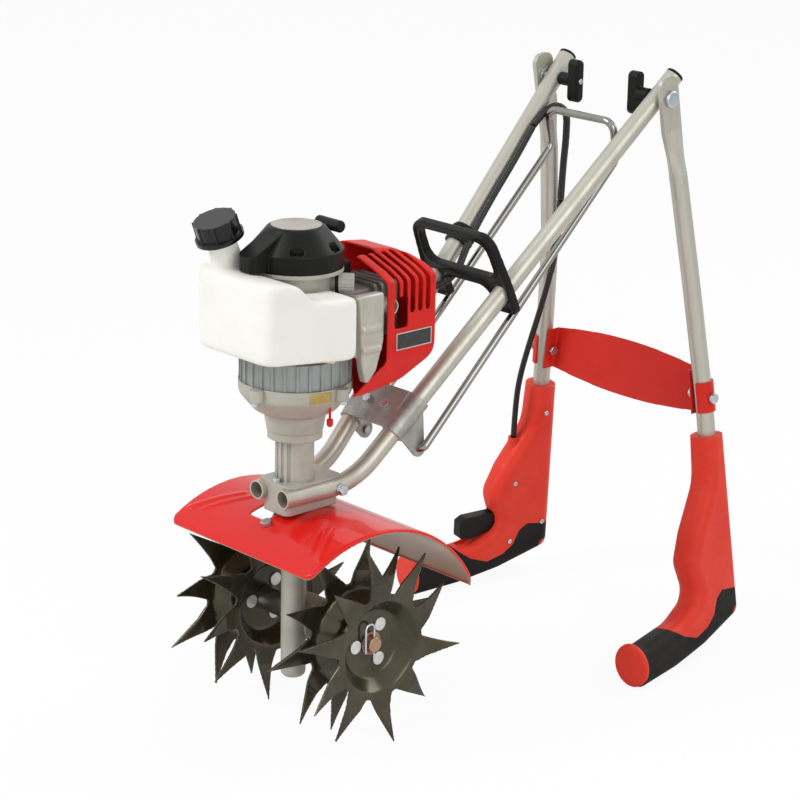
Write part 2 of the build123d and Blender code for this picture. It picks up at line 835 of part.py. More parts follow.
# Crankshaft with clutch shoes and flywheel fan, turning in the crankcase
shoe_radius = drum_radius - drum_wall - shoe_gap
with BuildPart() as crankshaft:
    with BuildSketch(Plane.XY.offset(drum_floor_z + drum_wall + free_gap)) as crank_section:
        with Locations((0, column_y)):
            Circle(crank_radius)
    extrude(amount=crank_top_z - drum_floor_z - drum_wall - free_gap)
    with BuildSketch(Plane.XY.offset(drum_floor_z + drum_wall + shoe_gap)) as shoe_section:
        with Locations((0, column_y)):
            Circle(shoe_radius)
            Circle(crank_radius + seat_gap, mode=Mode.SUBTRACT)
            with PolarLocations((shoe_radius + crank_radius) / 2 + shoe_gap, 2):
                Rectangle(shoe_radius - crank_radius, 2 * shoe_gap, mode=Mode.SUBTRACT)
    extrude(amount=shoe_height)
crankshaft.part.label = "crankshaft"
export_step(crankshaft.part, "parts/crankshaft.step")

with BuildPart() as flywheel_fan:
    with BuildSketch(Plane.XY.offset(fan_floor_z)) as fan_disc:
        with Locations((0, column_y)):
            Circle(fan_radius)
    extrude(amount=fan_plate)
    with BuildSketch(Plane.XY.offset(fan_floor_z)) as fan_vanes:
        with Locations((0, column_y)):
            with PolarLocations((fan_radius + drum_radius) / 2, fan_blades):
                Rectangle(fan_radius - drum_radius, fan_blade_thickness)
    extrude(amount=fan_height)
    with BuildSketch(Plane.XY.offset(fan_floor_z)) as fan_hub:
        with Locations((0, column_y)):
            Circle(2 * crank_radius)
    extrude(amount=fan_height)
    with BuildSketch(Plane.XY.offset(fan_floor_z)) as fan_bore:
        with Locations((0, column_y)):
            Circle(crank_radius + seat_gap)
    extrude(amount=fan_height, mode=Mode.SUBTRACT)
flywheel_fan.part.label = "flywheel_fan"
export_step(flywheel_fan.part, "parts/flywheel_fan.step")

# Crankcase on a ribbed band round the fan, with the oil filler neck and the plate that carries the starter
neck_way = Vector(1, 0, 0).rotate(Axis.Z, oil_neck_angle)
oil_neck_base = Plane(Vector(0, column_y, oil_neck_z), z_dir=neck_way)
oil_seat = oil_neck_base.offset(oil_neck_reach)
with BuildPart() as crankcase:
    with BuildSketch(Plane.XY.offset(bell_top_z + seat_gap)) as fan_band:
        with Locations((0, column_y)):
            Circle(band_radius)
            with PolarLocations(band_radius, band_ribs):
                Rectangle(2 * band_rib_height, band_rib_width)
            Circle(band_inner, mode=Mode.SUBTRACT)
    extrude(amount=band_top_z - bell_top_z - seat_gap)
    with BuildSketch(Plane.XY.offset(band_top_z)) as band_roof:
        with Locations((0, column_y)):
            Circle(band_radius)
    extrude(amount=-band_plate)
    with BuildSketch(Plane.XY.offset(band_top_z)) as case_round:
        with Locations((0, column_y)):
            Circle(crankcase_radius)
    extrude(amount=recoil_skirt_z - band_top_z)
    with BuildSketch(Plane.XY.offset(recoil_skirt_z)) as case_cap:
        with Locations((0, column_y)):
            Circle(recoil_skirt_radius)
    extrude(amount=-case_cap_thickness)
    with BuildSketch(oil_neck_base.offset(oil_neck_root)) as neck_root:
        Circle(oil_neck_root_radius)
    with BuildSketch(oil_seat) as neck_mouth:
        Circle(oil_neck_radius)
    loft()
    with BuildSketch(Plane.XY.offset(band_top_z - band_plate)) as crank_bore:
        with Locations((0, column_y)):
            Circle(crank_radius + run_fit)
    extrude(amount=recoil_skirt_z - band_top_z + band_plate, mode=Mode.SUBTRACT)
crankcase.part.label = "crankcase"
export_step(crankcase.part, "parts/crankcase.step")

# Oil filler plug with its seal
with BuildPart() as oil_seal:
    with BuildSketch(oil_seat) as seal_section:
        Circle(oil_seal_radius)
    extrude(amount=oil_seal_thickness)
oil_seal.part.label = "oil_seal"
export_step(oil_seal.part, "parts/oil_seal.step")

with BuildPart() as oil_plug:
    with BuildSketch(oil_seat.offset(oil_seal_thickness)) as plug_section:
        Circle(oil_plug_radius)
        with PolarLocations(oil_plug_radius, oil_plug_grooves):
            Circle(oil_plug_groove, mode=Mode.SUBTRACT)
    extrude(amount=oil_plug_length)
oil_plug.part.label = "oil_plug"
export_step(oil_plug.part, "parts/oil_plug.step")

# Finned cylinder to the rear of the crankcase
cylinder_rear_y = axle_y + cylinder_rear
with BuildPart() as cylinder:
    with BuildSketch(Plane.XZ.offset(-column_y)) as cylinder_block:
        with Locations((0, cylinder_z)):
            RectangleRounded(2 * cylinder_half_width, 2 * cylinder_half_height, fin_overhang)
    extrude(amount=column_y - cylinder_rear_y)
    for step in range(fin_count):
        with BuildSketch(Plane.XZ.offset(fin_pitch * step - cylinder_rear_y)) as fin_section:
            with Locations((0, cylinder_z)):
                RectangleRounded(2 * (cylinder_half_width + fin_overhang),
                                 2 * (cylinder_half_height + fin_overhang), fin_overhang)
        extrude(amount=fin_thickness)
    with BuildSketch(Plane.XY.offset(band_top_z)) as case_clearance:
        with Locations((0, column_y)):
            Circle(crankcase_radius + seat_gap)
    extrude(amount=recoil_skirt_z - band_top_z, mode=Mode.SUBTRACT)
cylinder.part.label = "cylinder"
export_step(cylinder.part, "parts/cylinder.step")

# Moulded cover over the cylinder: side outline crossed with an end outline, hollow and open to the front
cover_front_y = axle_y + cover_front
cover_rear_y = axle_y + cover_rear
with BuildSketch(Plane.YZ) as cover_side:
    with BuildLine() as cover_side_edge:
        FilletPolyline(
            (axle_y + cover_tail, cover_keel_z),
            (axle_y + cover_cheek_run, cover_cheek_z),
            (cover_front_y, cover_skirt_z),
            (cover_front_y, cover_roof_z),
            (cover_rear_y, cover_roof_z - cover_ridge),
            (cover_rear_y, cover_skirt_z),
            (axle_y + cover_belly_run, cover_belly_z),
            radius=(0, cover_round, cover_round, 0, 2 * cover_round, 3 * cover_round, 3 * cover_round),
            close=True,
        )
    make_face()
with BuildSketch(Plane.XZ) as cover_end:
    with BuildLine() as cover_end_edge:
        FilletPolyline(
            (cover_far, cover_keel_z),
            (cover_near - 2 * cover_round, cover_keel_z),
            (cover_near, cover_skirt_z),
            (cover_near, cover_eave_z),
            (cover_near - 2 * cover_round, cover_eave_z + cover_round),
            (0, cover_roof_z),
            (cover_far + cover_round, cover_roof_z),
            (cover_far, cover_eave_z),
            radius=(0, 2 * cover_round, 3 * cover_round) + 5 * (cover_round,),
            close=True,
        )
    make_face()
cover_span = 2 * (cover_rear - cover_tail + worm_offset - axle_y)
with BuildPart() as cover_hollow:
    with BuildSketch(Plane.YZ) as hollow_side:
        add(cover_side.sketch_local)
        offset(amount=-cover_wall)
        Polygon(
            (axle_y + cover_tail - cover_open, cover_keel_z + cover_wall),
            (axle_y + cover_belly_run - cover_open, cover_belly_z + cover_wall),
            (cover_front_y + cover_open, cover_roof_z - cover_wall),
            (axle_y + cover_tail - cover_open, cover_roof_z - cover_wall),
            align=None,
        )
    extrude(amount=cover_span, both=True)
    with BuildSketch(Plane.XZ) as hollow_end:
        add(cover_end.sketch_local)
        offset(amount=-cover_wall)
    extrude(amount=cover_span, both=True, mode=Mode.INTERSECT)

slot_first_y = cover_rear_y - slot_inset
intake_y = axle_y + intake_run
with BuildPart() as cylinder_cover:
    extrude(cover_side.sketch, amount=cover_span, both=True)
    extrude(cover_end.sketch, amount=cover_span, both=True, mode=Mode.INTERSECT)
    add(cover_hollow.part, mode=Mode.SUBTRACT)
    with BuildSketch(Plane.XY.offset(slot_bottom_z)) as louvre_slots:
        for step in range(slot_count):
            with Locations((cover_near, slot_first_y - slot_pitch * step)):
                Rectangle(2 * slot_reach, slot_width)
    extrude(amount=cover_roof_z - slot_bottom_z, mode=Mode.SUBTRACT)
    with BuildSketch(Plane.YZ.offset(cover_near)) as outlet_window:
        with Locations((axle_y + window_front + window_width / 2, window_bottom_z + window_height / 2)):
            RectangleRounded(window_width, window_height, cover_wall)
    extrude(amount=-2 * cover_wall, mode=Mode.SUBTRACT)
    with BuildSketch(Plane.XY.offset(cover_roof_z)) as plug_recess:
        with Locations((recess_x, cover_front_y + recess_length / 2)):
            Rectangle(recess_width, recess_length)
    extrude(amount=-3 * cover_wall, mode=Mode.SUBTRACT)
    with BuildSketch(Plane.XY.offset(band_top_z + free_gap)) as bell_clearance:
        with Locations((0, column_y)):
            Circle(bell_radius + cover_bell_gap)
            with PolarLocations(bell_radius + bell_ear_offset, bell_ears_count, start_angle=bell_ear_angle):
                Circle(bell_ear_radius + cover_bell_gap)
    extrude(amount=cover_keel_z - band_top_z - cover_wall, mode=Mode.SUBTRACT)
    with BuildSketch(Plane.YZ.offset(cover_far)) as intake_hole:
        with Locations((intake_y, intake_z)):
            Circle(carb_radius + free_gap)
    extrude(amount=2 * cover_wall, mode=Mode.SUBTRACT)
cylinder_cover.part.label = "cylinder_cover"
export_step(cylinder_cover.part, "parts/cylinder_cover.step")

# Spark plug in the head, with its boot
plug_base_z = cylinder_z + cylinder_half_height + seat_gap
with BuildPart() as spark_plug:
    with BuildSketch(Plane.XY.offset(plug_base_z)) as plug_hexagon:
        with Locations((plug_x, axle_y + plug_run)):
            RegularPolygon(plug_hex, 6)
    extrude(amount=plug_hex_height)
    with BuildSketch(Plane.XY.offset(plug_base_z)) as plug_insulator:
        with Locations((plug_x, axle_y + plug_run)):
            Circle(plug_radius)
    extrude(amount=plug_length)
spark_plug.part.label = "spark_plug"
export_step(spark_plug.part, "parts/spark_plug.step")

with BuildPart() as plug_boot:
    with BuildSketch(Plane.XY.offset(plug_base_z + plug_hex_height)) as boot_section:
        with Locations((plug_x, axle_y + plug_run)):
            Circle(plug_boot_radius)
    extrude(amount=plug_boot_height)
    fillet(plug_boot.faces().sort_by(Axis.Z)[-1].edges(), plug_boot_radius / 2)
    with BuildSketch(Plane.XY.offset(plug_base_z + plug_hex_height)) as boot_bore:
        with Locations((plug_x, axle_y + plug_run)):
            Circle(plug_radius + seat_gap)
    extrude(amount=plug_length - plug_hex_height, mode=Mode.SUBTRACT)
plug_boot.part.label = "plug_boot"
export_step(plug_boot.part, "parts/plug_boot.step")

# Muffler behind its shield plate on the near side, with the stub to the cylinder and the outlet
muffler_bottom_z = band_top_z + muffler_lift
muffler_mid_y = axle_y + muffler_front + muffler_length / 2
muffler_mid_z = (muffler_bottom_z + muffler_top_z) / 2
outlet_y = axle_y + outlet_run
with BuildPart() as muffler:
    with BuildSketch(Plane.YZ.offset(muffler_inner)) as muffler_face:
        with Locations((muffler_mid_y, muffler_mid_z)):
            RectangleRounded(muffler_length, muffler_top_z - muffler_bottom_z, muffler_corner)
    extrude(amount=muffler_plate_inner - muffler_inner)
    with BuildSketch(Plane.YZ.offset(muffler_plate_inner)) as shield_plate:
        with BuildLine() as shield_edge:
            FilletPolyline(*[(axle_y + run, bell_top_z + height) for run, height in muffler_plate],
                           radius=muffler_edge, close=True)
        make_face()
    extrude(amount=muffler_outer - muffler_plate_inner)
    fillet(muffler.faces().sort_by(Axis.X)[-1].edges(), muffler_edge - free_gap)
    for bead_height in muffler_bead_heights:
        with BuildSketch(Plane.XY.offset(bell_top_z + bead_height)) as shield_bead:
            with Locations((muffler_outer, axle_y + muffler_bead_run)):
                RectangleRounded(2 * muffler_bead_height, muffler_bead_length, muffler_bead_height / 2)
        extrude(amount=muffler_bead_width / 2, both=True)
    with BuildSketch(Plane.YZ.offset(cylinder_half_width + seat_gap)) as exhaust_stub:
        with Locations((axle_y + exhaust_run, cylinder_z)):
            Circle(exhaust_radius)
    extrude(amount=muffler_inner - cylinder_half_width - seat_gap)
    with BuildSketch(Plane.XZ.offset(-muffler_mid_y)) as outlet_pipe:
        with Locations((outlet_x, outlet_z)):
            Circle(outlet_radius)
    extrude(amount=muffler_mid_y - outlet_y)
    with BuildSketch(Plane.YZ.offset(outlet_x - outlet_radius)) as outlet_elbow:
        with Locations((outlet_y, outlet_z)):
            Circle(outlet_radius)
    extrude(amount=cover_near - cover_wall - free_gap - outlet_x + outlet_radius)
    with BuildSketch(Plane.YZ.offset(cover_near)) as outlet_bore:
        with Locations((outlet_y, outlet_z)):
            Circle(outlet_radius - outlet_wall)
    extrude(amount=outlet_x - cover_near, mode=Mode.SUBTRACT)
muffler.part.label = "muffler"
export_step(muffler.part, "parts/muffler.step")

# Starter cover: a capped cone with a skirt, a lobe to the front and pockets round its slope
lobe_end_y = column_y - recoil_lobe_reach
pull_start = Vector(pull_x, axle_y + pull_run, pull_z)
pull_plane = Plane(pull_start, x_dir=(1, 0, 0), z_dir=Vector(0, 1, 0).rotate(Axis.X, pull_rise))
recoil_slope = recoil_skirt_radius - recoil_top_radius
with BuildPart() as recoil_lobe:
    with BuildSketch(Plane.YZ) as lobe_side:
        Polygon(
            (column_y - recoil_top_radius, recoil_lobe_bottom_z),
            (column_y - recoil_top_radius, recoil_top_z - recoil_wall),
            (lobe_end_y, recoil_lobe_top_z),
            (lobe_end_y, recoil_lobe_bottom_z),
            align=None,
        )
    extrude(amount=recoil_lobe_half, both=True)
    fillet(recoil_lobe.edges().filter_by(Axis.Z).sort_by(Axis.Y)[:2], recoil_lobe_corner)
with BuildPart() as recoil_cover:
    with BuildSketch(crank_section_plane) as recoil_section:
        with BuildLine() as recoil_outline:
            FilletPolyline(
                (0, recoil_skirt_z),
                (recoil_skirt_radius, recoil_skirt_z),
                (recoil_skirt_radius, recoil_brim_z),
                (recoil_top_radius, recoil_top_z),
                (0, recoil_top_z),
                radius=(0, 0, recoil_wall, 2 * recoil_wall, 0),
                close=True,
            )
        make_face()
    revolve(axis=crank_line)
    with BuildSketch(Plane.XY.offset(recoil_brim_z)) as slope_pockets:
        with Locations((0, column_y)):
            with PolarLocations(recoil_skirt_radius - recoil_slope / 4, recoil_pocket_count,
                                start_angle=recoil_pocket_angle):
                SlotCenterToCenter(recoil_pocket_radius, recoil_pocket_radius, rotation=90)
    extrude(amount=recoil_top_z - recoil_brim_z, mode=Mode.SUBTRACT)
    add(recoil_lobe.part)
    with BuildSketch(pull_plane.offset(-pull_bar_radius - free_gap)) as rope_guide:
        Circle(pull_boss_radius)
    extrude(amount=-pull_boss_length)
    with BuildSketch(crank_section_plane) as recoil_inside:
        Polygon(
            (post_radius, recoil_skirt_z),
            (recoil_skirt_radius - recoil_wall, recoil_skirt_z),
            (recoil_skirt_radius - recoil_wall, recoil_brim_z - recoil_wall),
            (recoil_pocket_floor, recoil_brim_z - recoil_wall),
            (recoil_top_radius - recoil_wall, recoil_top_z - recoil_wall),
            (post_radius, recoil_top_z - recoil_wall),
            align=None,
        )
    revolve(axis=crank_line, mode=Mode.SUBTRACT)
    with BuildSketch(Plane.XY.offset(recoil_skirt_z)) as post_end:
        with Locations((0, column_y)):
            Circle(post_radius)
    extrude(amount=reel_z - recoil_skirt_z, mode=Mode.SUBTRACT)
recoil_cover.part.label = "recoil_cover"
export_step(recoil_cover.part, "parts/recoil_cover.step")

with BuildPart() as recoil_reel:
    with BuildSketch(crank_section_plane) as reel_section:
        with BuildLine() as reel_outline:
            Polyline(
                (post_radius + run_fit, reel_z),
                (reel_radius, reel_z),
                (reel_radius, reel_z + reel_flange),
                (reel_radius - reel_groove, reel_z + reel_height / 2),
                (reel_radius, reel_z + reel_height - reel_flange),
                (reel_radius, reel_z + reel_height),
                (post_radius + run_fit, reel_z + reel_height),
                close=True,
            )
        make_face()
    revolve(axis=crank_line)
recoil_reel.part.label = "recoil_reel"
export_step(recoil_reel.part, "parts/recoil_reel.step")

with BuildPart() as starter_grip:
    with BuildSketch(Plane.YZ.offset(pull_x - pull_bar_length / 2)) as pull_bar:
        with Locations((pull_start.Y, pull_start.Z)):
            Circle(pull_bar_radius)
    extrude(amount=pull_bar_length)
    fillet(starter_grip.faces().filter_by(Axis.X).edges(), pull_bar_radius / 3)
starter_grip.part.label = "starter_grip"
export_step(starter_grip.part, "parts/starter_grip.step")

# Fuel tank: U-shaped in plan round the crankcase, its top falling in two slopes to the limbs
tank_front_y = axle_y - tank_front
tank_rear_y = axle_y - tank_rear
neck_point = Vector(neck_x, axle_y - neck_run, neck_base_z)
neck_plane = Plane(neck_point, z_dir=Vector(0, 0, 1).rotate(Axis.X, neck_tilt))
with BuildPart() as fuel_tank:
    with BuildSketch(Plane.XY.offset(tank_bottom_z)) as tank_plan:
        with BuildLine() as tank_edge_line:
            FilletPolyline(
                (-tank_front_half, tank_front_y),
                (tank_front_half, tank_front_y),
                (tank_rear_half, axle_y - tank_shoulder),
                (tank_rear_half, tank_rear_y),
                (-tank_rear_half, tank_rear_y),
                (-tank_rear_half, axle_y - tank_shoulder),
                radius=(2 * tank_edge, 2 * tank_edge, tank_edge, tank_edge, tank_edge, tank_edge),
                close=True,
            )
        make_face()
    extrude(amount=tank_top_z - tank_bottom_z)
    with BuildSketch(Plane.YZ) as tank_side:
        with BuildLine() as tank_side_edge:
            FilletPolyline(
                (tank_front_y, tank_bottom_z),
                (tank_front_y, tank_top_z),
                (axle_y - tank_step_run, tank_step_z),
                (axle_y - tank_limb_run, tank_limb_z),
                (tank_rear_y, tank_limb_z),
                (tank_rear_y, tank_bottom_z),
                radius=(0, tank_edge, tank_edge / 2, tank_edge / 2, 0, 0),
                close=True,
            )
        make_face()
    extrude(amount=tank_rear_half, both=True, mode=Mode.INTERSECT)
    tank_floor = fuel_tank.faces().sort_by(Axis.Z)[0]
    fillet(tank_floor.edges(), tank_round)
    with BuildSketch(Plane.XY.offset(tank_bottom_z)) as tank_notch:
        with Locations((0, column_y)):
            Circle(tank_notch_half)
        with Locations((0, column_y + tank_notch_half)):
            Rectangle(2 * tank_notch_half, 2 * tank_notch_half)
    extrude(amount=tank_top_z - tank_bottom_z, mode=Mode.SUBTRACT)
    with BuildSketch(Plane.XY.offset(recoil_skirt_z - case_cap_thickness - free_gap)) as starter_clearance:
        with Locations((0, column_y)):
            Circle(recoil_skirt_radius + free_gap)
    extrude(amount=tank_top_z - recoil_skirt_z + case_cap_thickness, mode=Mode.SUBTRACT)
    with BuildSketch(neck_plane) as neck_foot:
        Circle(neck_base_radius)
    with BuildSketch(neck_plane.offset(neck_length - fuel_cap_height)) as neck_waist:
        Circle(neck_radius)
    loft()
    with BuildSketch(neck_plane) as tank_neck:
        Circle(neck_radius)
    extrude(amount=neck_length)
fuel_tank.part.label = "fuel_tank"
export_step(fuel_tank.part, "parts/fuel_tank.step")

with BuildPart() as tank_pads:
    with BuildSketch(Plane.XY.offset(band_top_z)) as pad_section:
        with Locations((0, column_y)):
            with PolarLocations(pad_circle_radius, 3, start_angle=0, angular_range=-180, endpoint=True):
                Circle(pad_radius)
    extrude(amount=tank_bottom_z - band_top_z)
tank_pads.part.label = "tank_pads"
export_step(tank_pads.part, "parts/tank_pads.step")

cap_roof_plane = neck_plane.offset(neck_length + seat_gap)
with BuildPart() as fuel_cap:
    with BuildSketch(cap_roof_plane.offset(fuel_cap_roof - fuel_cap_height)) as cap_section:
        Circle(fuel_cap_radius)
        with PolarLocations(fuel_cap_radius, fuel_cap_ribs):
            Circle(fuel_cap_rib_radius)
    extrude(amount=fuel_cap_height)
    with BuildSketch(cap_roof_plane.offset(fuel_cap_roof - fuel_cap_height)) as cap_collar:
        Circle(fuel_cap_collar)
    extrude(amount=fuel_cap_collar_height)
    with BuildSketch(cap_roof_plane) as cap_bore:
        Circle(neck_radius + free_gap)
    extrude(amount=-fuel_cap_height, mode=Mode.SUBTRACT)
fuel_cap.part.label = "fuel_cap"
export_step(fuel_cap.part, "parts/fuel_cap.step")

# Carburettor and air cleaner on the far side, with the choke lever
carb_face_x = -(cylinder_half_width + fin_overhang + seat_gap)
cleaner_x = carb_face_x - carb_length
with BuildPart() as carburettor:
    with BuildSketch(Plane.YZ.offset(carb_face_x)) as carb_section:
        with Locations((intake_y, intake_z)):
            Circle(carb_radius)
    extrude(amount=-carb_length)
carburettor.part.label = "carburettor"
export_step(carburettor.part, "parts/carburettor.step")

with BuildPart() as air_cleaner:
    with BuildSketch(Plane.YZ.offset(cleaner_x)) as cleaner_section:
        with Locations((intake_y, intake_z)):
            RectangleRounded(cleaner_length, cleaner_height, cleaner_round)
    extrude(amount=-cleaner_width)
    fillet(air_cleaner.faces().sort_by(Axis.X)[0].edges(), cleaner_round / 2)
    with BuildSketch(Plane.YZ.offset(cleaner_x - cleaner_width)) as choke_post:
        with Locations((axle_y + choke_run, intake_z + choke_lift)):
            Circle(choke_pin)
    extrude(amount=-choke_thickness - free_gap)
air_cleaner.part.label = "air_cleaner"
export_step(air_cleaner.part, "parts/air_cleaner.step")

with BuildPart() as choke_lever:
    with BuildSketch(Plane.YZ.offset(cleaner_x - cleaner_width - free_gap)) as lever_section:
        with Locations((axle_y + choke_run + choke_length / 2, intake_z + choke_lift)):
            SlotOverall(choke_length + choke_width, choke_width)
        with Locations((axle_y + choke_run, intake_z + choke_lift)):
            Circle(choke_pin + run_fit, mode=Mode.SUBTRACT)
    extrude(amount=-choke_thickness)
choke_lever.part.label = "choke_lever"
export_step(choke_lever.part, "parts/choke_lever.step")

# Lower handle tubes, drilled for the fold bolts, with plugs in their upper ends
fold_line_plane = Plane(Vector(0, fold_point.Y, fold_point.Z), x_dir=(0, 1, 0), z_dir=(1, 0, 0))
fold_hole_radius = fold_bolt_radius + fold_hole_gap
with BuildPart() as lower_handle_left:
    with BuildLine() as handle_route:
        FilletPolyline(tube_front, tube_corner, tube_end, radius=tube_bend_radius)
    with BuildSketch(Plane(tube_front, z_dir=tube_corner - tube_front)) as handle_section:
        Circle(tube_radius)
        Circle(tube_radius - tube_wall, mode=Mode.SUBTRACT)
    sweep()
    with BuildSketch(fold_line_plane.offset(fold_x)) as handle_drilling:
        Circle(fold_hole_radius)
    extrude(amount=2 * tube_radius, both=True, mode=Mode.SUBTRACT)
    with BuildSketch(clamp_bolt_plane) as clamp_drilling:
        Circle(clamp_bolt_radius + seat_gap)
    extrude(amount=2 * clamp_half_width, mode=Mode.SUBTRACT)
lower_handle_left.part.label = "lower_handle_left"
export_step(lower_handle_left.part, "parts/lower_handle_left.step")

with BuildPart() as lower_handle_right:
    mirror(lower_handle_left.part, about=Plane.YZ)
lower_handle_right.part.label = "lower_handle_right"
export_step(lower_handle_right.part, "parts/lower_handle_right.step")

with BuildPart() as tube_plugs:
    with BuildSketch(Plane(tube_end, z_dir=tube_rise)) as plug_cap_section:
        Circle(tube_radius)
    extrude(amount=plug_cap)
    with BuildSketch(Plane(tube_end, z_dir=tube_rise)) as plug_shank:
        Circle(tube_radius - tube_wall - seat_gap)
    extrude(amount=-plug_depth)
    mirror(about=Plane.YZ)
tube_plugs.part.label = "tube_plugs"
export_step(tube_plugs.part, "parts/tube_plugs.step")

# Shouldered fold bolts, whose collars keep lower and upper handles apart
plate_outer_x = fold_plate_x + fold_plate_thickness
with BuildPart() as fold_bolts:
    with BuildSketch(fold_line_plane.offset(plate_outer_x + free_gap)) as bolt_head:
        Circle(fold_head_radius)
    extrude(amount=fold_head_height)
    fillet(fold_bolts.faces().sort_by(Axis.X)[-1].edges(), fold_head_height / 2)
    with BuildSketch(fold_line_plane.offset(fold_x - tube_radius - knob_stem_length)) as bolt_shank:
        Circle(fold_bolt_radius)
    extrude(amount=plate_outer_x + free_gap - fold_x + tube_radius + knob_stem_length)
    with BuildSketch(fold_line_plane.offset(fold_plate_x - free_gap)) as collar:
        Circle(spacer_radius)
    extrude(amount=fold_x + tube_radius + knob_gap + free_gap - fold_plate_x)
    mirror(about=Plane.YZ)
fold_bolts.part.label = "fold_bolts"
export_step(fold_bolts.part, "parts/fold_bolts.step")

knob_face_x = fold_x - tube_radius - knob_gap
with BuildPart() as fold_knob_left:
    with BuildSketch(fold_line_plane.offset(knob_face_x)) as knob_stem:
        Circle(knob_stem_radius)
    extrude(amount=-knob_stem_length)
    with BuildSketch(fold_line_plane.offset(knob_face_x - knob_stem_length)) as knob_bar:
        SlotOverall(knob_bar_length, knob_bar_width, rotation=90)
    extrude(amount=-knob_bar_depth)
    fillet(fold_knob_left.faces().sort_by(Axis.X)[0].edges(), knob_bar_width / 4)
    with BuildSketch(fold_line_plane.offset(knob_face_x)) as knob_bore:
        Circle(fold_hole_radius)
    extrude(amount=-knob_stem_length, mode=Mode.SUBTRACT)
fold_knob_left.part.label = "fold_knob_left"
export_step(fold_knob_left.part, "parts/fold_knob_left.step")

with BuildPart() as fold_knob_right:
    mirror(fold_knob_left.part, about=Plane.YZ)
fold_knob_right.part.label = "fold_knob_right"
export_step(fold_knob_right.part, "parts/fold_knob_right.step")

# Upper handle tubes, pressed flat at the fold
machine_shift = Vector(0, axle_y, 0)
upper_top = upper_start + machine_shift
upper_mid = upper_middle + machine_shift
grip_root = upper_root + machine_shift
upper_end = grip_root + grip_drop * upper_tail
plate_way = Vector(0, upper_top.Y - fold_y, upper_top.Z - fold_z).normalized()
plate_plane = Plane(Vector(fold_plate_x, fold_y, fold_z), x_dir=plate_way, z_dir=(1, 0, 0))
plate_end = Plane(
    Vector(fold_plate_x + fold_plate_thickness / 2, fold_y, fold_z) + plate_way * fold_plate_below,
    x_dir=(1, 0, 0),
    z_dir=plate_way,
)
tube_top_plane = Plane(upper_top, x_dir=(1, 0, 0), z_dir=upper_mid - upper_top)
brace_bolt_point = grip_root + grip_drop * ((brace_bolt_z - grip_root.Z) / grip_drop.Z)
brace_bolt_plane = Plane(brace_bolt_point, x_dir=(0, 1, 0), z_dir=(1, 0, 0))
with BuildPart() as upper_handle_left:
    with BuildSketch(plate_plane) as plate_outline:
        with Locations(((fold_plate_below - fold_plate_above) / 2, 0)):
            Rectangle(fold_plate_below + fold_plate_above, fold_plate_width)
        fillet(plate_outline.vertices().group_by(Axis.X)[0], fold_plate_width / 2.5)
        Circle(fold_hole_radius, mode=Mode.SUBTRACT)
    extrude(amount=fold_plate_thickness)
    with BuildSketch(plate_end) as flat_end:
        Rectangle(fold_plate_thickness, fold_plate_width)
    with BuildSketch(tube_top_plane) as round_end:
        Circle(tube_radius)
    loft()
    with BuildLine() as upper_route:
        FilletPolyline(upper_top, upper_mid, grip_root, upper_end, radius=upper_bend_radius)
    with BuildSketch(tube_top_plane) as upper_section:
        Circle(tube_radius)
        Circle(tube_radius - tube_wall, mode=Mode.SUBTRACT)
    sweep()
    with BuildSketch(brace_bolt_plane) as upper_drilling:
        Circle(brace_bolt_radius + seat_gap)
    extrude(amount=2 * tube_radius, both=True, mode=Mode.SUBTRACT)
upper_handle_left.part.label = "upper_handle_left"
export_step(upper_handle_left.part, "parts/upper_handle_left.step")

with BuildPart() as upper_handle_right:
    mirror(upper_handle_left.part, about=Plane.YZ)
upper_handle_right.part.label = "upper_handle_right"
export_step(upper_handle_right.part, "parts/upper_handle_right.step")

with BuildPart() as upper_space:
    with BuildLine() as upper_space_route:
        FilletPolyline(upper_top, upper_mid, grip_root, upper_end, radius=upper_bend_radius)
    with BuildSketch(tube_top_plane) as upper_space_section:
        Circle(tube_radius + seat_gap)
    sweep()

# Pressed channel that ties the upper handles together, bolted through with half-round saddles
brace_rear_y = grip_root.Y + brace_setback
brace_top_way = (grip_root - upper_mid).normalized()
brace_reach = tube_radius + brace_gap
brace_top_x = grip_root.X + brace_top_way.X * (brace_top_z - grip_root.Z) / brace_top_way.Z - brace_reach
brace_bottom_x = grip_root.X + grip_drop.X * (brace_bottom_z - grip_root.Z) / grip_drop.Z - brace_reach
with BuildPart() as handle_brace:
    with BuildSketch(Plane.XZ.offset(-brace_rear_y)) as brace_outline:
        with BuildLine() as brace_edge:
            Polyline((-brace_top_x, brace_top_z), (-brace_bottom_x, brace_bottom_z))
            ThreePointArc((-brace_bottom_x, brace_bottom_z), (0, brace_bottom_z - brace_bow),
                          (brace_bottom_x, brace_bottom_z))
            Polyline((brace_bottom_x, brace_bottom_z), (brace_top_x, brace_top_z))
            ThreePointArc((brace_top_x, brace_top_z), (0, brace_top_z + brace_bow),
                          (-brace_top_x, brace_top_z))
        make_face()
    extrude(amount=brace_depth)
    with BuildSketch(Plane.XZ.offset(brace_sheet - brace_rear_y)) as brace_hollow:
        Polygon(
            (brace_sheet - brace_top_x, brace_top_z),
            (brace_sheet - brace_bottom_x, brace_bottom_z),
            (-brace_bottom_x / 2, brace_bottom_z - 2 * brace_bow),
            (brace_bottom_x / 2, brace_bottom_z - 2 * brace_bow),
            (brace_bottom_x - brace_sheet, brace_bottom_z),
            (brace_top_x - brace_sheet, brace_top_z),
            (brace_top_x / 2, brace_top_z + 2 * brace_bow),
            (-brace_top_x / 2, brace_top_z + 2 * brace_bow),
            align=None,
        )
    extrude(amount=brace_depth, mode=Mode.SUBTRACT)
    with BuildSketch(brace_bolt_plane) as brace_drilling:
        Circle(brace_bolt_radius + seat_gap)
    extrude(amount=-3 * grip_root.X, mode=Mode.SUBTRACT)
handle_brace.part.label = "handle_brace"
export_step(handle_brace.part, "parts/handle_brace.step")

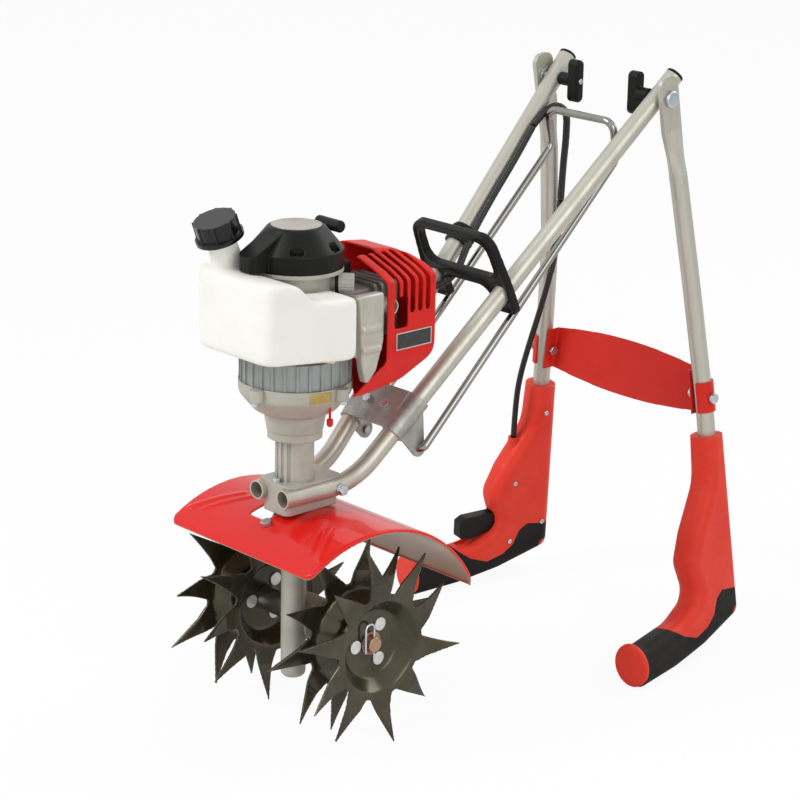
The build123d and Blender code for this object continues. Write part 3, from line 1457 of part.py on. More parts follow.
saddle_plane = Plane(brace_bolt_point - grip_drop * (saddle_length / 2), x_dir=(1, 0, 0), z_dir=grip_drop)
saddle_radius = tube_radius + seat_gap + saddle_wall
with BuildPart() as brace_saddles:
    with BuildSketch(saddle_plane) as saddle_section:
        Circle(saddle_radius)
        with Locations((-saddle_radius, 0)):
            Rectangle(2 * saddle_radius, 2 * saddle_radius, mode=Mode.SUBTRACT)
    extrude(amount=saddle_length)
    add(upper_space.part, mode=Mode.SUBTRACT)
    with BuildSketch(brace_bolt_plane) as saddle_drilling:
        Circle(brace_bolt_radius + seat_gap)
    extrude(amount=2 * saddle_radius, mode=Mode.SUBTRACT)
    mirror(about=Plane.YZ)
brace_saddles.part.label = "brace_saddles"
export_step(brace_saddles.part, "parts/brace_saddles.step")

brace_tab_x = brace_bolt_point.X - brace_reach - 2 * brace_sheet
brace_head_x = saddle_radius + brace_head_gap
with BuildPart() as brace_bolts:
    with BuildSketch(brace_bolt_plane.offset(brace_head_x)) as brace_bolt_heads:
        Circle(brace_bolt_head)
    extrude(amount=brace_bolt_head_height)
    with BuildSketch(brace_bolt_plane.offset(brace_head_x)) as brace_bolt_shank:
        Circle(brace_bolt_radius)
    extrude(amount=brace_tab_x - brace_bolt_point.X - brace_head_x)
    with BuildSketch(brace_bolt_plane.offset(brace_tab_x - brace_bolt_point.X)) as brace_nuts:
        RegularPolygon(brace_bolt_head, 6)
    extrude(amount=-brace_bolt_head_height)
    mirror(about=Plane.YZ)
brace_bolts.part.label = "brace_bolts"
export_step(brace_bolts.part, "parts/brace_bolts.step")

# Moulded carry handle across the lower handles
carry_point = tube_corner + tube_rise * carry_distance
carry_plane = Plane(
    Vector(0, carry_point.Y, carry_point.Z),
    x_dir=(1, 0, 0),
    z_dir=Vector(0, -1, 0).rotate(Axis.X, carry_lean),
)
with BuildSketch(carry_plane) as carry_outline:
    with BuildLine() as carry_edge_line:
        FilletPolyline(
            (-carry_foot_half, -carry_foot_bottom),
            (-carry_arch_half, -carry_foot_bottom),
            (-carry_arch_half, carry_arch_top),
            (carry_arch_half, carry_arch_top),
            (carry_arch_half, -carry_foot_bottom),
            (carry_foot_half, -carry_foot_bottom),
            (carry_foot_half, carry_foot_top),
            (carry_top_half, carry_top),
            (-carry_top_half, carry_top),
            (-carry_foot_half, carry_foot_top),
            radius=(carry_edge, carry_edge, carry_corner, carry_corner, carry_edge, carry_edge,
                    carry_corner, carry_top_round, carry_top_round, carry_corner),
            close=True,
        )
    make_face()
with BuildSketch(carry_plane) as carry_hole:
    with BuildLine() as carry_hole_edge:
        FilletPolyline(
            (-carry_hole_half, carry_hole_bottom),
            (carry_hole_half, carry_hole_bottom),
            (carry_hole_top_half, carry_hole_top),
            (-carry_hole_top_half, carry_hole_top),
            radius=carry_corner,
            close=True,
        )
    make_face()
with BuildPart() as carry_handle:
    with BuildSketch(carry_plane) as carry_web:
        add(carry_outline.sketch_local)
        add(carry_hole.sketch_local, mode=Mode.SUBTRACT)
    extrude(amount=carry_web_thickness / 2, both=True)
    with BuildSketch(carry_plane) as carry_rim:
        add(carry_outline.sketch_local)
        offset(carry_rim.sketch_local, amount=-carry_edge, mode=Mode.SUBTRACT)
    extrude(amount=carry_thickness / 2, both=True)
    with BuildSketch(carry_plane) as loop_rim:
        offset(carry_hole.sketch_local, amount=carry_edge)
        add(carry_hole.sketch_local, mode=Mode.SUBTRACT)
    extrude(amount=carry_thickness / 2, both=True)
    add(tube_space.part, mode=Mode.SUBTRACT)
carry_handle.part.label = "carry_handle"
export_step(carry_handle.part, "parts/carry_handle.step")

# Kickstand bracket: sleeves round the tubes, a plate between them and side ears for the wire stand
bracket_foot = tube_corner + tube_rise * bracket_start
bracket_way = Vector(0, tube_rise.Y, tube_rise.Z).normalized()
bracket_plane = Plane(Vector(0, bracket_foot.Y, bracket_foot.Z), x_dir=(1, 0, 0), z_dir=bracket_way)
pivot_point = stand_pivot + machine_shift
pivot_local = bracket_plane.to_local_coords(pivot_point)
pivot_plane = Plane(pivot_point, x_dir=bracket_way, z_dir=(1, 0, 0))
with BuildPart() as stand_bracket:
    with BuildSketch(Plane(bracket_foot, x_dir=(1, 0, 0), z_dir=tube_rise)) as sleeve_section:
        Circle(tube_radius + bracket_sheet)
    extrude(amount=bracket_length)
    with BuildSketch(pivot_plane.offset(bracket_flange_x)) as ear_outline:
        Polygon(
            (-bracket_ear_radius, 0),
            (bracket_ear_radius, 0),
            (bracket_length - pivot_local.Z, pivot_local.Y),
            (-pivot_local.Z, pivot_local.Y),
            align=None,
        )
        Circle(bracket_ear_radius)
        Circle(stand_wire + fold_hole_gap, mode=Mode.SUBTRACT)
    extrude(amount=bracket_sheet)
    mirror(about=Plane.YZ)
    with BuildSketch(bracket_plane) as bracket_plate:
        with Locations((0, -tube_radius - bracket_sheet / 2)):
            Rectangle(2 * bracket_foot.X, bracket_sheet)
    extrude(amount=bracket_length)
    add(tube_space.part, mode=Mode.SUBTRACT)
stand_bracket.part.label = "stand_bracket"
export_step(stand_bracket.part, "parts/stand_bracket.step")

# Wire kickstand lying under the lower handles
stub_end = Vector(stand_kink.X - stand_stub, pivot_point.Y, pivot_point.Z)
stand_knee = Vector(stand_kink.X, pivot_point.Y, pivot_point.Z)
kink_point = stand_kink + machine_shift
top_point = stand_top + machine_shift
with BuildPart() as kickstand:
    with BuildLine() as stand_route:
        FilletPolyline(
            stub_end,
            stand_knee,
            kink_point,
            top_point,
            Vector(-top_point.X, top_point.Y, top_point.Z),
            Vector(-kink_point.X, kink_point.Y, kink_point.Z),
            Vector(-stand_knee.X, stand_knee.Y, stand_knee.Z),
            Vector(-stub_end.X, stub_end.Y, stub_end.Z),
            radius=(stand_knee_bend, stand_bend, stand_bend, stand_bend, stand_bend, stand_knee_bend),
        )
    with BuildSketch(Plane(stub_end, z_dir=(1, 0, 0))) as stand_section:
        Circle(stand_wire)
    sweep()
kickstand.part.label = "kickstand"
export_step(kickstand.part, "parts/kickstand.step")

# Grips: one moulded profile, split into a hard body and a rubber hand part
grip_across_square = grip_across - grip_drop * grip_across.dot(grip_drop)
grip_plane = Plane(grip_root, x_dir=grip_across_square, z_dir=grip_drop.cross(grip_across_square))
grip_side = Axis(grip_root, grip_plane.z_dir)
cap_point = grip_plane.from_local_coords((grip_bar_reach, -grip_cap_drop, 0))
cap_plane = Plane(cap_point, x_dir=grip_plane.z_dir, z_dir=grip_plane.x_dir)
with BuildPart() as grip_form:
    with BuildSketch(grip_plane) as grip_outline:
        with BuildLine() as grip_edge:
            FilletPolyline(*grip_profile, radius=grip_profile_bends, close=True)
        make_face()
    extrude(amount=grip_half_thickness, both=True)
    fillet(grip_form.faces().filter_by(grip_side).edges(), grip_round)
    split(bisect_by=Plane(grip_root + grip_drop * grip_top, z_dir=grip_drop), keep=Keep.TOP)
    split(bisect_by=cap_plane, keep=Keep.BOTTOM)
    add(upper_space.part, mode=Mode.SUBTRACT)

with BuildPart() as rubber_zone:
    with BuildSketch(grip_plane) as rubber_outline:
        with BuildLine() as rubber_edge:
            FilletPolyline(*rubber_seam, radius=rubber_seam_bend, close=True)
        make_face()
    extrude(amount=2 * grip_half_thickness, both=True)

with BuildPart() as grip_left:
    add(grip_form.part)
    add(rubber_zone.part, mode=Mode.SUBTRACT)
grip_left.part.label = "grip_left"
export_step(grip_left.part, "parts/grip_left.step")

with BuildPart() as grip_rubbers:
    add(grip_form.part)
    add(rubber_zone.part, mode=Mode.INTERSECT)
    mirror(about=Plane.YZ)
grip_rubbers.part.label = "grip_rubbers"
export_step(grip_rubbers.part, "parts/grip_rubbers.step")

with BuildPart() as grip_caps:
    with BuildSketch(cap_plane) as cap_outline:
        Ellipse(grip_cap_width / 2, grip_cap_height / 2)
    extrude(amount=grip_cap_thickness)
    fillet(grip_caps.faces().sort_by(Axis(cap_point, cap_plane.z_dir))[-1].edges(), grip_cap_thickness / 2)
    mirror(about=Plane.YZ)
grip_caps.part.label = "grip_caps"
export_step(grip_caps.part, "parts/grip_caps.step")

# Right grip, mirrored, with the trigger slot, the switch slot and the cable nub
with BuildPart() as right_grip_form:
    add(grip_left.part)
    nub_foot = grip_plane.from_local_coords((nub_reach, -nub_drop, 0))
    with BuildSketch(Plane(nub_foot, z_dir=grip_drop)) as nub_section:
        Circle(nub_radius)
    extrude(amount=nub_length)
    with BuildSketch(grip_plane) as trigger_slot:
        with Locations((trigger_pivot_reach, -trigger_pivot_drop)):
            Circle(trigger_hub + trigger_slot_gap)
        Polygon(
            (trigger_pivot_reach, -trigger_pivot_drop + trigger_hub + trigger_slot_gap),
            (trigger_tip_reach, -trigger_tip_top + trigger_hub),
            (trigger_tip_reach, -trigger_slot_floor),
            (trigger_tip_reach - 2 * trigger_hub, -trigger_slot_floor),
            (trigger_pivot_reach, -trigger_pivot_drop - trigger_hub - trigger_slot_gap),
            align=None,
        )
    extrude(amount=trigger_half_thickness + trigger_slot_gap, both=True, mode=Mode.SUBTRACT)
    with BuildSketch(grip_plane) as trigger_pin:
        with Locations((trigger_pivot_reach, -trigger_pivot_drop)):
            Circle(trigger_pin_radius)
    extrude(amount=trigger_half_thickness + trigger_slot_gap, both=True)
    with BuildSketch(grip_plane.offset(-grip_half_thickness)) as switch_slot:
        with Locations((switch_reach, -switch_drop + switch_travel / 2)):
            Rectangle(switch_stem + 2 * free_gap, switch_length + switch_travel - 2 * switch_stem)
    extrude(amount=switch_height, mode=Mode.SUBTRACT)
with BuildPart() as grip_right:
    mirror(right_grip_form.part, about=Plane.YZ)
grip_right.part.label = "grip_right"
export_step(grip_right.part, "parts/grip_right.step")

with BuildPart() as trigger_form:
    with BuildSketch(grip_plane) as trigger_outline:
        with BuildLine() as trigger_edge:
            FilletPolyline(
                (trigger_pivot_reach, -trigger_pivot_drop + trigger_hub),
                (trigger_tip_reach - trigger_hub, -trigger_tip_top + trigger_hub / 2),
                (trigger_tip_reach, -trigger_tip_top),
                (trigger_tip_reach, -trigger_tip_bottom),
                (trigger_tip_reach - 2 * trigger_hub, -trigger_belly),
                (trigger_pivot_reach, -trigger_pivot_drop - trigger_hub),
                radius=(0, trigger_hub / 2, trigger_hub / 4, trigger_hub / 2, 2 * trigger_hub, 0),
                close=True,
            )
        make_face()
        with Locations((trigger_pivot_reach, -trigger_pivot_drop)):
            Circle(trigger_hub)
            Circle(trigger_pin_radius + fold_hole_gap, mode=Mode.SUBTRACT)
    extrude(amount=trigger_half_thickness, both=True)
with BuildPart() as throttle_trigger:
    mirror(trigger_form.part, about=Plane.YZ)
throttle_trigger.part.label = "throttle_trigger"
export_step(throttle_trigger.part, "parts/throttle_trigger.step")

with BuildPart() as switch_form:
    with BuildSketch(grip_plane.offset(-grip_half_thickness - free_gap)) as switch_button:
        with Locations((switch_reach, -switch_drop)):
            RectangleRounded(switch_width, switch_length, switch_stem / 2)
    extrude(amount=-switch_height)
    with BuildSketch(grip_plane.offset(-grip_half_thickness - free_gap)) as switch_tongue:
        with Locations((switch_reach, -switch_drop)):
            Rectangle(switch_stem, switch_length - 3 * switch_stem)
    extrude(amount=switch_height - free_gap)
with BuildPart() as stop_switch:
    mirror(switch_form.part, about=Plane.YZ)
stop_switch.part.label = "stop_switch"
export_step(stop_switch.part, "parts/stop_switch.step")

# Fender pressed from sheet, arched from front to rear over the tines, with a turned-down rim
fender_mid_y = axle_y + (fender_rear_run - fender_front_run) / 2
fender_length = fender_rear_run + fender_front_run
fender_plan_plane = Plane.XY.offset(fender_rear_z - fender_lip_depth)
with BuildPart() as fender_hollow:
    with BuildSketch(fender_plan_plane) as hollow_plan:
        with Locations((0, fender_mid_y)):
            RectangleRounded(
                2 * (fender_half_width - fender_thickness),
                fender_length - 2 * fender_thickness,
                fender_corner - fender_thickness,
            )
    extrude(amount=fender_crown_z)
    with BuildSketch(Plane.YZ) as hollow_arch:
        with Locations(fender_centre):
            Circle(fender_curve.radius - fender_thickness)
    extrude(amount=fender_half_width, both=True, mode=Mode.INTERSECT)

with BuildPart() as fender_creases:
    with BuildSketch(fender_plan_plane) as crease_plan:
        for start_x, start_run in crease_starts:
            reach = Vector(crease_length / 2, 0).rotate(Axis.Z, crease_angle)
            with Locations((start_x + reach.X, axle_y + start_run + reach.Y)):
                SlotOverall(crease_length, crease_width, rotation=crease_angle)
    extrude(amount=fender_crown_z)
    with BuildSketch(Plane.YZ) as crease_arch:
        with Locations(fender_centre):
            Circle(fender_curve.radius + crease_height)
            Circle(fender_curve.radius - fender_thickness / 2, mode=Mode.SUBTRACT)
    extrude(amount=fender_half_width, both=True, mode=Mode.INTERSECT)
    mirror(about=Plane.YZ)

with BuildPart() as fender:
    with BuildSketch(fender_plan_plane) as fender_plan:
        with Locations((0, fender_mid_y)):
            RectangleRounded(2 * fender_half_width, fender_length, fender_corner)
    extrude(amount=fender_crown_z)
    with BuildSketch(Plane.YZ) as fender_arch:
        with Locations(fender_centre):
            Circle(fender_curve.radius)
            Circle(fender_curve.radius - fender_lip_depth, mode=Mode.SUBTRACT)
    extrude(amount=fender_half_width, both=True, mode=Mode.INTERSECT)
    add(fender_hollow.part, mode=Mode.SUBTRACT)
    add(fender_creases.part)
    with BuildSketch(Plane.XY.offset(fender_rear_z)) as fender_opening:
        with Locations((0, column_y)):
            Circle(worm_tube_radius + free_gap)
        with Locations((fender_gap_x, axle_y - fender_gap_run)):
            RectangleRounded(fender_gap_width, fender_gap_length, fender_gap_corner)
    extrude(amount=fender_crown_z, mode=Mode.SUBTRACT)
    with BuildSketch(fender_bolt_plane) as fender_drilling:
        Circle(fender_bolt_shank + seat_gap)
    extrude(amount=2 * fender_thickness, both=True, mode=Mode.SUBTRACT)
fender.part.label = "fender"
export_step(fender.part, "parts/fender.step")

# Bolt through the clamp and both handle tubes, with washers shaped to the tubes
washer_face_x = clamp_bolt_x + tube_radius + clamp_washer_lift
with BuildPart() as clamp_bolt:
    with BuildSketch(clamp_bolt_plane.offset(clamp_bolt_x)) as clamp_washer:
        Circle(clamp_washer_radius)
    extrude(amount=washer_face_x - clamp_bolt_x)
    add(tube_space.part, mode=Mode.SUBTRACT)
    with BuildSketch(clamp_bolt_plane.offset(washer_face_x)) as clamp_bolt_end:
        RegularPolygon(clamp_bolt_head, 6)
    extrude(amount=clamp_bolt_head_height)
    mirror(about=Plane.YZ)
    with BuildSketch(clamp_bolt_plane) as clamp_bolt_shank:
        Circle(clamp_bolt_radius)
    extrude(amount=washer_face_x, both=True)
clamp_bolt.part.label = "clamp_bolt"
export_step(clamp_bolt.part, "parts/clamp_bolt.step")

# Hexagon screws of the bell, the stand bracket, the column's foot and the fender
bracket_screw_plane = Plane(
    bracket_plane.from_local_coords((0, -tube_radius - bracket_sheet, bracket_length / 2)),
    x_dir=(1, 0, 0),
    z_dir=-bracket_plane.y_dir,
)
with BuildPart() as frame_screws:
    with BuildSketch(Plane.XY.offset(bell_shoulder_z - bell_screw_head)) as bell_screw_heads:
        with Locations((0, column_y)):
            with PolarLocations(bell_radius + bell_screw_radius + free_gap, bell_ears_count,
                                start_angle=bell_ear_angle):
                RegularPolygon(bell_screw_radius, 6)
    extrude(amount=bell_screw_head)
    with BuildSketch(bracket_screw_plane) as bracket_screw_heads:
        with GridLocations(bracket_screw_pitch, bracket_screw_pitch, 2, 1):
            RegularPolygon(bracket_screw_radius, 6)
    extrude(amount=bracket_screw_height)
    with BuildSketch(Plane.XY.offset(clamp_run_z + clamp_upper_height)) as column_screw_head:
        with Locations((0, column_y - column_screw_run)):
            RegularPolygon(column_screw_radius, 6)
    extrude(amount=column_screw_height)
    with BuildSketch(fender_bolt_plane.offset(fender_bolt_lift)) as fender_bolt_head:
        RegularPolygon(fender_bolt_radius, 6)
    extrude(amount=fender_bolt_height)
    with BuildSketch(fender_bolt_plane.offset(fender_bolt_lift)) as fender_bolt_stem:
        Circle(fender_bolt_shank)
    extrude(amount=-fender_bolt_length)
frame_screws.part.label = "frame_screws"
export_step(frame_screws.part, "parts/frame_screws.step")

# Throttle cable: a conduit along the right lower handle, a free bend and a run to the right grip
carb_rear_y = intake_y + carb_radius
conduit_points = [
    Vector(-46.0, carb_rear_y + seat_gap, intake_z),
    Vector(-46.0, carb_rear_y + 36.0, intake_z),
    Vector(-40.0, axle_y + 150.0, 404.0),
    Vector(-23.0, axle_y + 206.0, 406.0),
    Vector(-36.4, axle_y + 242.0, 447.0),
    Vector(-42.0, axle_y + 277.0, 482.0),
    Vector(-47.5, axle_y + 318.0, 520.0),
    Vector(-51.0, axle_y + 345.0, 549.0),
]
bend_points = [
    conduit_points[-1],
    Vector(-54.0, axle_y + 371.0, 568.0),
    Vector(-58.5, axle_y + 404.0, 560.0),
    Vector(-70.0, axle_y + 417.0, 526.0),
    Vector(-77.5, axle_y + 421.5, 490.0),
    Vector(-82.0, axle_y + 425.0, 452.0),
]
nub_end = Vector(-nub_foot.X, nub_foot.Y, nub_foot.Z)
nub_way = Vector(grip_drop.X, -grip_drop.Y, -grip_drop.Z)
upper_points = [
    bend_points[-1],
    bend_points[-1] * 2 - bend_points[-2],
    Vector(-91.5, axle_y + 424.5, 370.0),
    Vector(-102.0, axle_y + 420.0, 325.0),
    Vector(-113.0, axle_y + 415.0, 282.0),
    Vector(-124.0, axle_y + 413.5, 242.0),
    nub_end + nub_way * 38.0,
    nub_end,
]


def route_radii(points):
    radii = []
    for before, corner, after in zip(points, points[1:], points[2:]):
        turn = (corner - before).get_angle(after - corner)
        shorter = min((corner - before).length, (after - corner).length)
        radii.append(0.45 * shorter / math.tan(math.radians(turn / 2)))
    return radii


print("conduit radii", [round(radius) for radius in route_radii(conduit_points)])
print("bend radii", [round(radius) for radius in route_radii(bend_points)])
print("upper radii", [round(radius) for radius in route_radii(upper_points)])

conduit_start = Plane(conduit_points[0], z_dir=conduit_points[1] - conduit_points[0])
bend_start = Plane(bend_points[0], z_dir=bend_points[1] - bend_points[0])
cable_start = Plane(upper_points[0], z_dir=upper_points[1] - upper_points[0])


def rib_sections(route, first, last):
    count = int((last - first) / rib_pitch)
    pitch = (last - first) / count
    shares = [step / 4 + rib for rib in range(count) for step in range(4)] + [count]
    radii = [conduit_waist, conduit_radius, conduit_radius, conduit_waist] * count + [conduit_waist]
    for share, radius in zip(shares, radii):
        station = first + share * pitch
        place = route.position_at(station, position_mode=PositionMode.LENGTH)
        way = route.tangent_at(station, position_mode=PositionMode.LENGTH)
        yield Plane(place, x_dir=(1, 0, 0), z_dir=way), radius

with BuildPart() as throttle_conduit:
    with BuildLine() as conduit_route:
        FilletPolyline(*conduit_points, radius=route_radii(conduit_points))
    conduit_wire = conduit_route.wire()
    with BuildSketch(conduit_start) as conduit_plain_section:
        Circle(conduit_waist)
    sweep(path=conduit_wire.trim(0, conduit_plain / conduit_wire.length))
    for plane, radius in rib_sections(conduit_wire, conduit_plain, conduit_wire.length):
        with BuildSketch(plane) as conduit_ribs:
            Circle(radius)
    loft(ruled=True)
    with BuildSketch(conduit_start) as conduit_bore:
        Circle(cable_radius)
    sweep(path=conduit_wire, mode=Mode.SUBTRACT)
throttle_conduit.part.label = "throttle_conduit"
export_step(throttle_conduit.part, "parts/throttle_conduit.step")

with BuildPart() as cable_bend:
    with BuildLine() as bend_route:
        FilletPolyline(*bend_points, radius=route_radii(bend_points))
    bend_wire = bend_route.wire()
    for plane, radius in rib_sections(bend_wire, 0, bend_wire.length):
        with BuildSketch(plane) as bend_ribs:
            Circle(radius)
    loft(ruled=True)
    with BuildSketch(bend_start) as bend_bore:
        Circle(cable_radius)
    sweep(path=bend_wire, mode=Mode.SUBTRACT)
cable_bend.part.label = "cable_bend"
export_step(cable_bend.part, "parts/cable_bend.step")

with BuildPart() as cable_upper:
    with BuildLine() as cable_route:
        FilletPolyline(*upper_points, radius=route_radii(upper_points))
    cable_wire = cable_route.wire()
    for plane, radius in rib_sections(cable_wire, 0, cable_ribbed):
        with BuildSketch(plane) as cable_ribs:
            Circle(radius)
    loft(ruled=True)
    with BuildSketch(cable_start) as cable_bore:
        Circle(cable_radius)
    sweep(path=cable_wire, mode=Mode.SUBTRACT)
    plain_wire = cable_wire.trim(cable_ribbed / cable_wire.length, 1)
    with BuildSketch(Plane(plain_wire @ 0, z_dir=plain_wire % 0)) as cable_plain_section:
        Circle(conduit_waist)
    sweep(path=plain_wire)
cable_upper.part.label = "cable_upper"
export_step(cable_upper.part, "parts/cable_upper.step")
for cord in (conduit_route, bend_route, cable_route):
    print("length", round(sum(edge.length for edge in cord.edges())))

# Ribbed clip that holds the conduit to the right lower handle
clip_tube = tube_corner + tube_rise * clip_distance
clip_plane = Plane(Vector(-clip_tube.X, clip_tube.Y, clip_tube.Z), x_dir=(1, 0, 0),
                   z_dir=Vector(-tube_rise.X, tube_rise.Y, tube_rise.Z))
clip_reach = tube_radius + conduit_radius + free_gap
with BuildPart() as cable_clip:
    for step in range(clip_ribs):
        with BuildSketch(clip_plane.offset(step * clip_pitch)) as rib_section:
            Circle(tube_radius + clip_wall)
            with Locations((clip_reach, 0)):
                Circle(conduit_radius + clip_wall)
        extrude(amount=clip_pitch / 2)
        with BuildSketch(clip_plane.offset((step + 0.5) * clip_pitch)) as waist_section:
            Circle(tube_radius + clip_wall / 2)
            with Locations((clip_reach, 0)):
                Circle(conduit_radius + clip_wall / 2)
        extrude(amount=clip_pitch / 2)
    add(tube_space.part, mode=Mode.SUBTRACT)
    with BuildLine() as clip_route:
        FilletPolyline(*conduit_points, radius=route_radii(conduit_points))
    with BuildSketch(conduit_start) as clip_bore:
        Circle(conduit_radius + seat_gap)
    sweep(mode=Mode.SUBTRACT)
cable_clip.part.label = "cable_clip"
export_step(cable_clip.part, "parts/cable_clip.step")
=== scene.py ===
import math

import bmesh
import bpy
from mathutils import Matrix, Vector


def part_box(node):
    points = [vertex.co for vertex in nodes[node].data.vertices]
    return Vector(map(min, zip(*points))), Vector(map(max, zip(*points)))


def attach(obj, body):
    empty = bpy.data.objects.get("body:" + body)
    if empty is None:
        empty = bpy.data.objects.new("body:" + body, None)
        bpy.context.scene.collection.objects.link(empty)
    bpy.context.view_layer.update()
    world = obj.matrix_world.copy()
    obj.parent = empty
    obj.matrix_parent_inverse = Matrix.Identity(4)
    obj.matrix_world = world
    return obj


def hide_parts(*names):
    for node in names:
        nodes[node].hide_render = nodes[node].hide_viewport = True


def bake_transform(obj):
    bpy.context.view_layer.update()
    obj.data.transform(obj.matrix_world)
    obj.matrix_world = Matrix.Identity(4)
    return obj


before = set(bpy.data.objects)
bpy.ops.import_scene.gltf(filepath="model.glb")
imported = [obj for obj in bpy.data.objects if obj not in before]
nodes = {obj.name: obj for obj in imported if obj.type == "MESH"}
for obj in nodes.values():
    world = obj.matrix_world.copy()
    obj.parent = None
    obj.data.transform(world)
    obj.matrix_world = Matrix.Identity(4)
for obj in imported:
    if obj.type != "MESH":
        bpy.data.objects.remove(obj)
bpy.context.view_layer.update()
bpy.ops.object.select_all(action="DESELECT")
print("frame loaded:", len(nodes), "nodes")

mmPerMetre = 1000
colourA, colourB, mixedColour = 6, 7, 2      # a Mix node's sockets for colours


def tint(red, green, blue):
    # picked colours are sRGB from 0 to 255, shaders want linear
    def linear(part):
        part /= 255
        return part / 12.92 if part <= 0.04045 else ((part + 0.055) / 1.055) ** 2.4
    return (linear(red), linear(green), linear(blue), 1.0)


def addNode(tree, kind, values=None, **settings):
    # a shader node with its settings and the values of its sockets
    node = tree.nodes.new("ShaderNode" + kind)
    for label, value in settings.items():
        setattr(node, label, value)
    for socket, value in (values or {}).items():
        node.inputs[socket].default_value = value
    return node


def join(tree, *pairs):
    for start, end in pairs:
        tree.links.new(start, end)


# camera, lamps and floor

shot = {
    "target": (0.00686, -0.07359, 0.30905),
    "azimuth": 46.71,
    "elevation": 17.31,
    "roll": 1.18,
    "distance": 2.52835,
    "lens": 114.0,
    "sensor": 36.0,
    "farthest": 50,        # metres that the camera sees
}


def placeCamera():
    turn, lift, roll = (math.radians(shot[key]) for key in ("azimuth", "elevation", "roll"))
    back = Vector((math.sin(turn) * math.cos(lift), -math.cos(turn) * math.cos(lift), math.sin(lift)))
    right = Vector((math.cos(turn), math.sin(turn), 0))
    up = back.cross(right)
    bpy.ops.object.camera_add()
    camera = bpy.context.object
    camera.name = "photoCamera"
    camera.data.lens = shot["lens"]
    camera.data.sensor_width = shot["sensor"]
    camera.data.sensor_fit = "HORIZONTAL"
    camera.data.clip_end = shot["farthest"]
    turned = Matrix((right * math.cos(roll) + up * math.sin(roll),
                     up * math.cos(roll) - right * math.sin(roll), back)).transposed()
    stand = Vector(shot["target"]) + back * shot["distance"]
    camera.matrix_world = Matrix.Translation(stand) @ turned.to_4x4()
    bpy.context.scene.camera = camera


lamps = {
    "key": {"place": (-0.9, -2.3, 2.4), "size": 1.2, "power": 54},
    "fill": {"place": (2.6, -0.6, 1.5), "size": 1.8, "power": 22},
    "rim": {"place": (0.4, 2.4, 2.2), "size": 1.6, "power": 26},
}
lampAim = (0, 0, 0.3)
ambient = {"white": (1, 1, 1, 1), "strength": 0.5}
ground = {
    "size": 24,
    "grey": 0.9,
    "rough": 0.9,
    "shine": 0.1,
    "glow": 0.93,          # how much of what the camera sees there is plain white
}


def placeLamps():
    for name, lamp in lamps.items():
        bpy.ops.object.light_add(type="AREA", location=lamp["place"])
        light = bpy.context.object
        light.name = name + "Lamp"
        light.data.size = lamp["size"]
        light.data.energy = lamp["power"]
        light.rotation_euler = (Vector(lamp["place"]) - Vector(lampAim)).to_track_quat("Z", "Y").to_euler()


def paintWorld():
    # the camera and reflections see plain white, and the surfaces get a softer light
    world = bpy.data.worlds.new("studio")
    bpy.context.scene.world = world
    world.use_nodes = True
    tree = world.node_tree
    tree.nodes.clear()
    path = addNode(tree, "LightPath")
    mirrored = addNode(tree, "Math", operation="MAXIMUM")
    seen = addNode(tree, "Math", operation="MAXIMUM")
    shade = addNode(tree, "Background", {"Color": ambient["white"], "Strength": ambient["strength"]})
    white = addNode(tree, "Background", {"Color": ambient["white"]})
    mix = addNode(tree, "MixShader")
    out = addNode(tree, "OutputWorld")
    join(tree,
         (path.outputs["Is Glossy Ray"], mirrored.inputs[0]),
         (path.outputs["Is Transmission Ray"], mirrored.inputs[1]),
         (path.outputs["Is Camera Ray"], seen.inputs[0]),
         (mirrored.outputs[0], seen.inputs[1]),
         (seen.outputs[0], mix.inputs[0]),
         (shade.outputs[0], mix.inputs[1]),
         (white.outputs[0], mix.inputs[2]),
         (mix.outputs[0], out.inputs[0]))


def layFloor():
    # the camera sees it glow nearly white, and it keeps a soft shadow
    bpy.ops.mesh.primitive_plane_add(size=ground["size"])
    floor = bpy.context.object
    floor.name = "floor"
    paint = bpy.data.materials.new("paleFloor")
    paint.use_nodes = True
    tree = paint.node_tree
    shader = tree.nodes["Principled BSDF"]
    shader.inputs["Base Color"].default_value = (ground["grey"],) * 3 + (1,)
    shader.inputs["Roughness"].default_value = ground["rough"]
    shader.inputs["Specular IOR Level"].default_value = ground["shine"]
    path = addNode(tree, "LightPath")
    share = addNode(tree, "Math", {1: ground["glow"]}, operation="MULTIPLY")
    glow = addNode(tree, "Emission")
    mix = addNode(tree, "MixShader")
    join(tree,
         (path.outputs["Is Camera Ray"], share.inputs[0]),
         (share.outputs[0], mix.inputs[0]),
         (shader.outputs[0], mix.inputs[1]),
         (glow.outputs[0], mix.inputs[2]),
         (mix.outputs[0], tree.nodes["Material Output"].inputs["Surface"]))
    floor.data.materials.append(paint)


bpy.context.scene.view_settings.view_transform = "Standard"
placeCamera()
placeLamps()
paintWorld()
layFloor()
print("camera, lamps and floor placed")


# throttle cable: a ribbed conduit on the frame, a loop over the fold, and the run down the handle

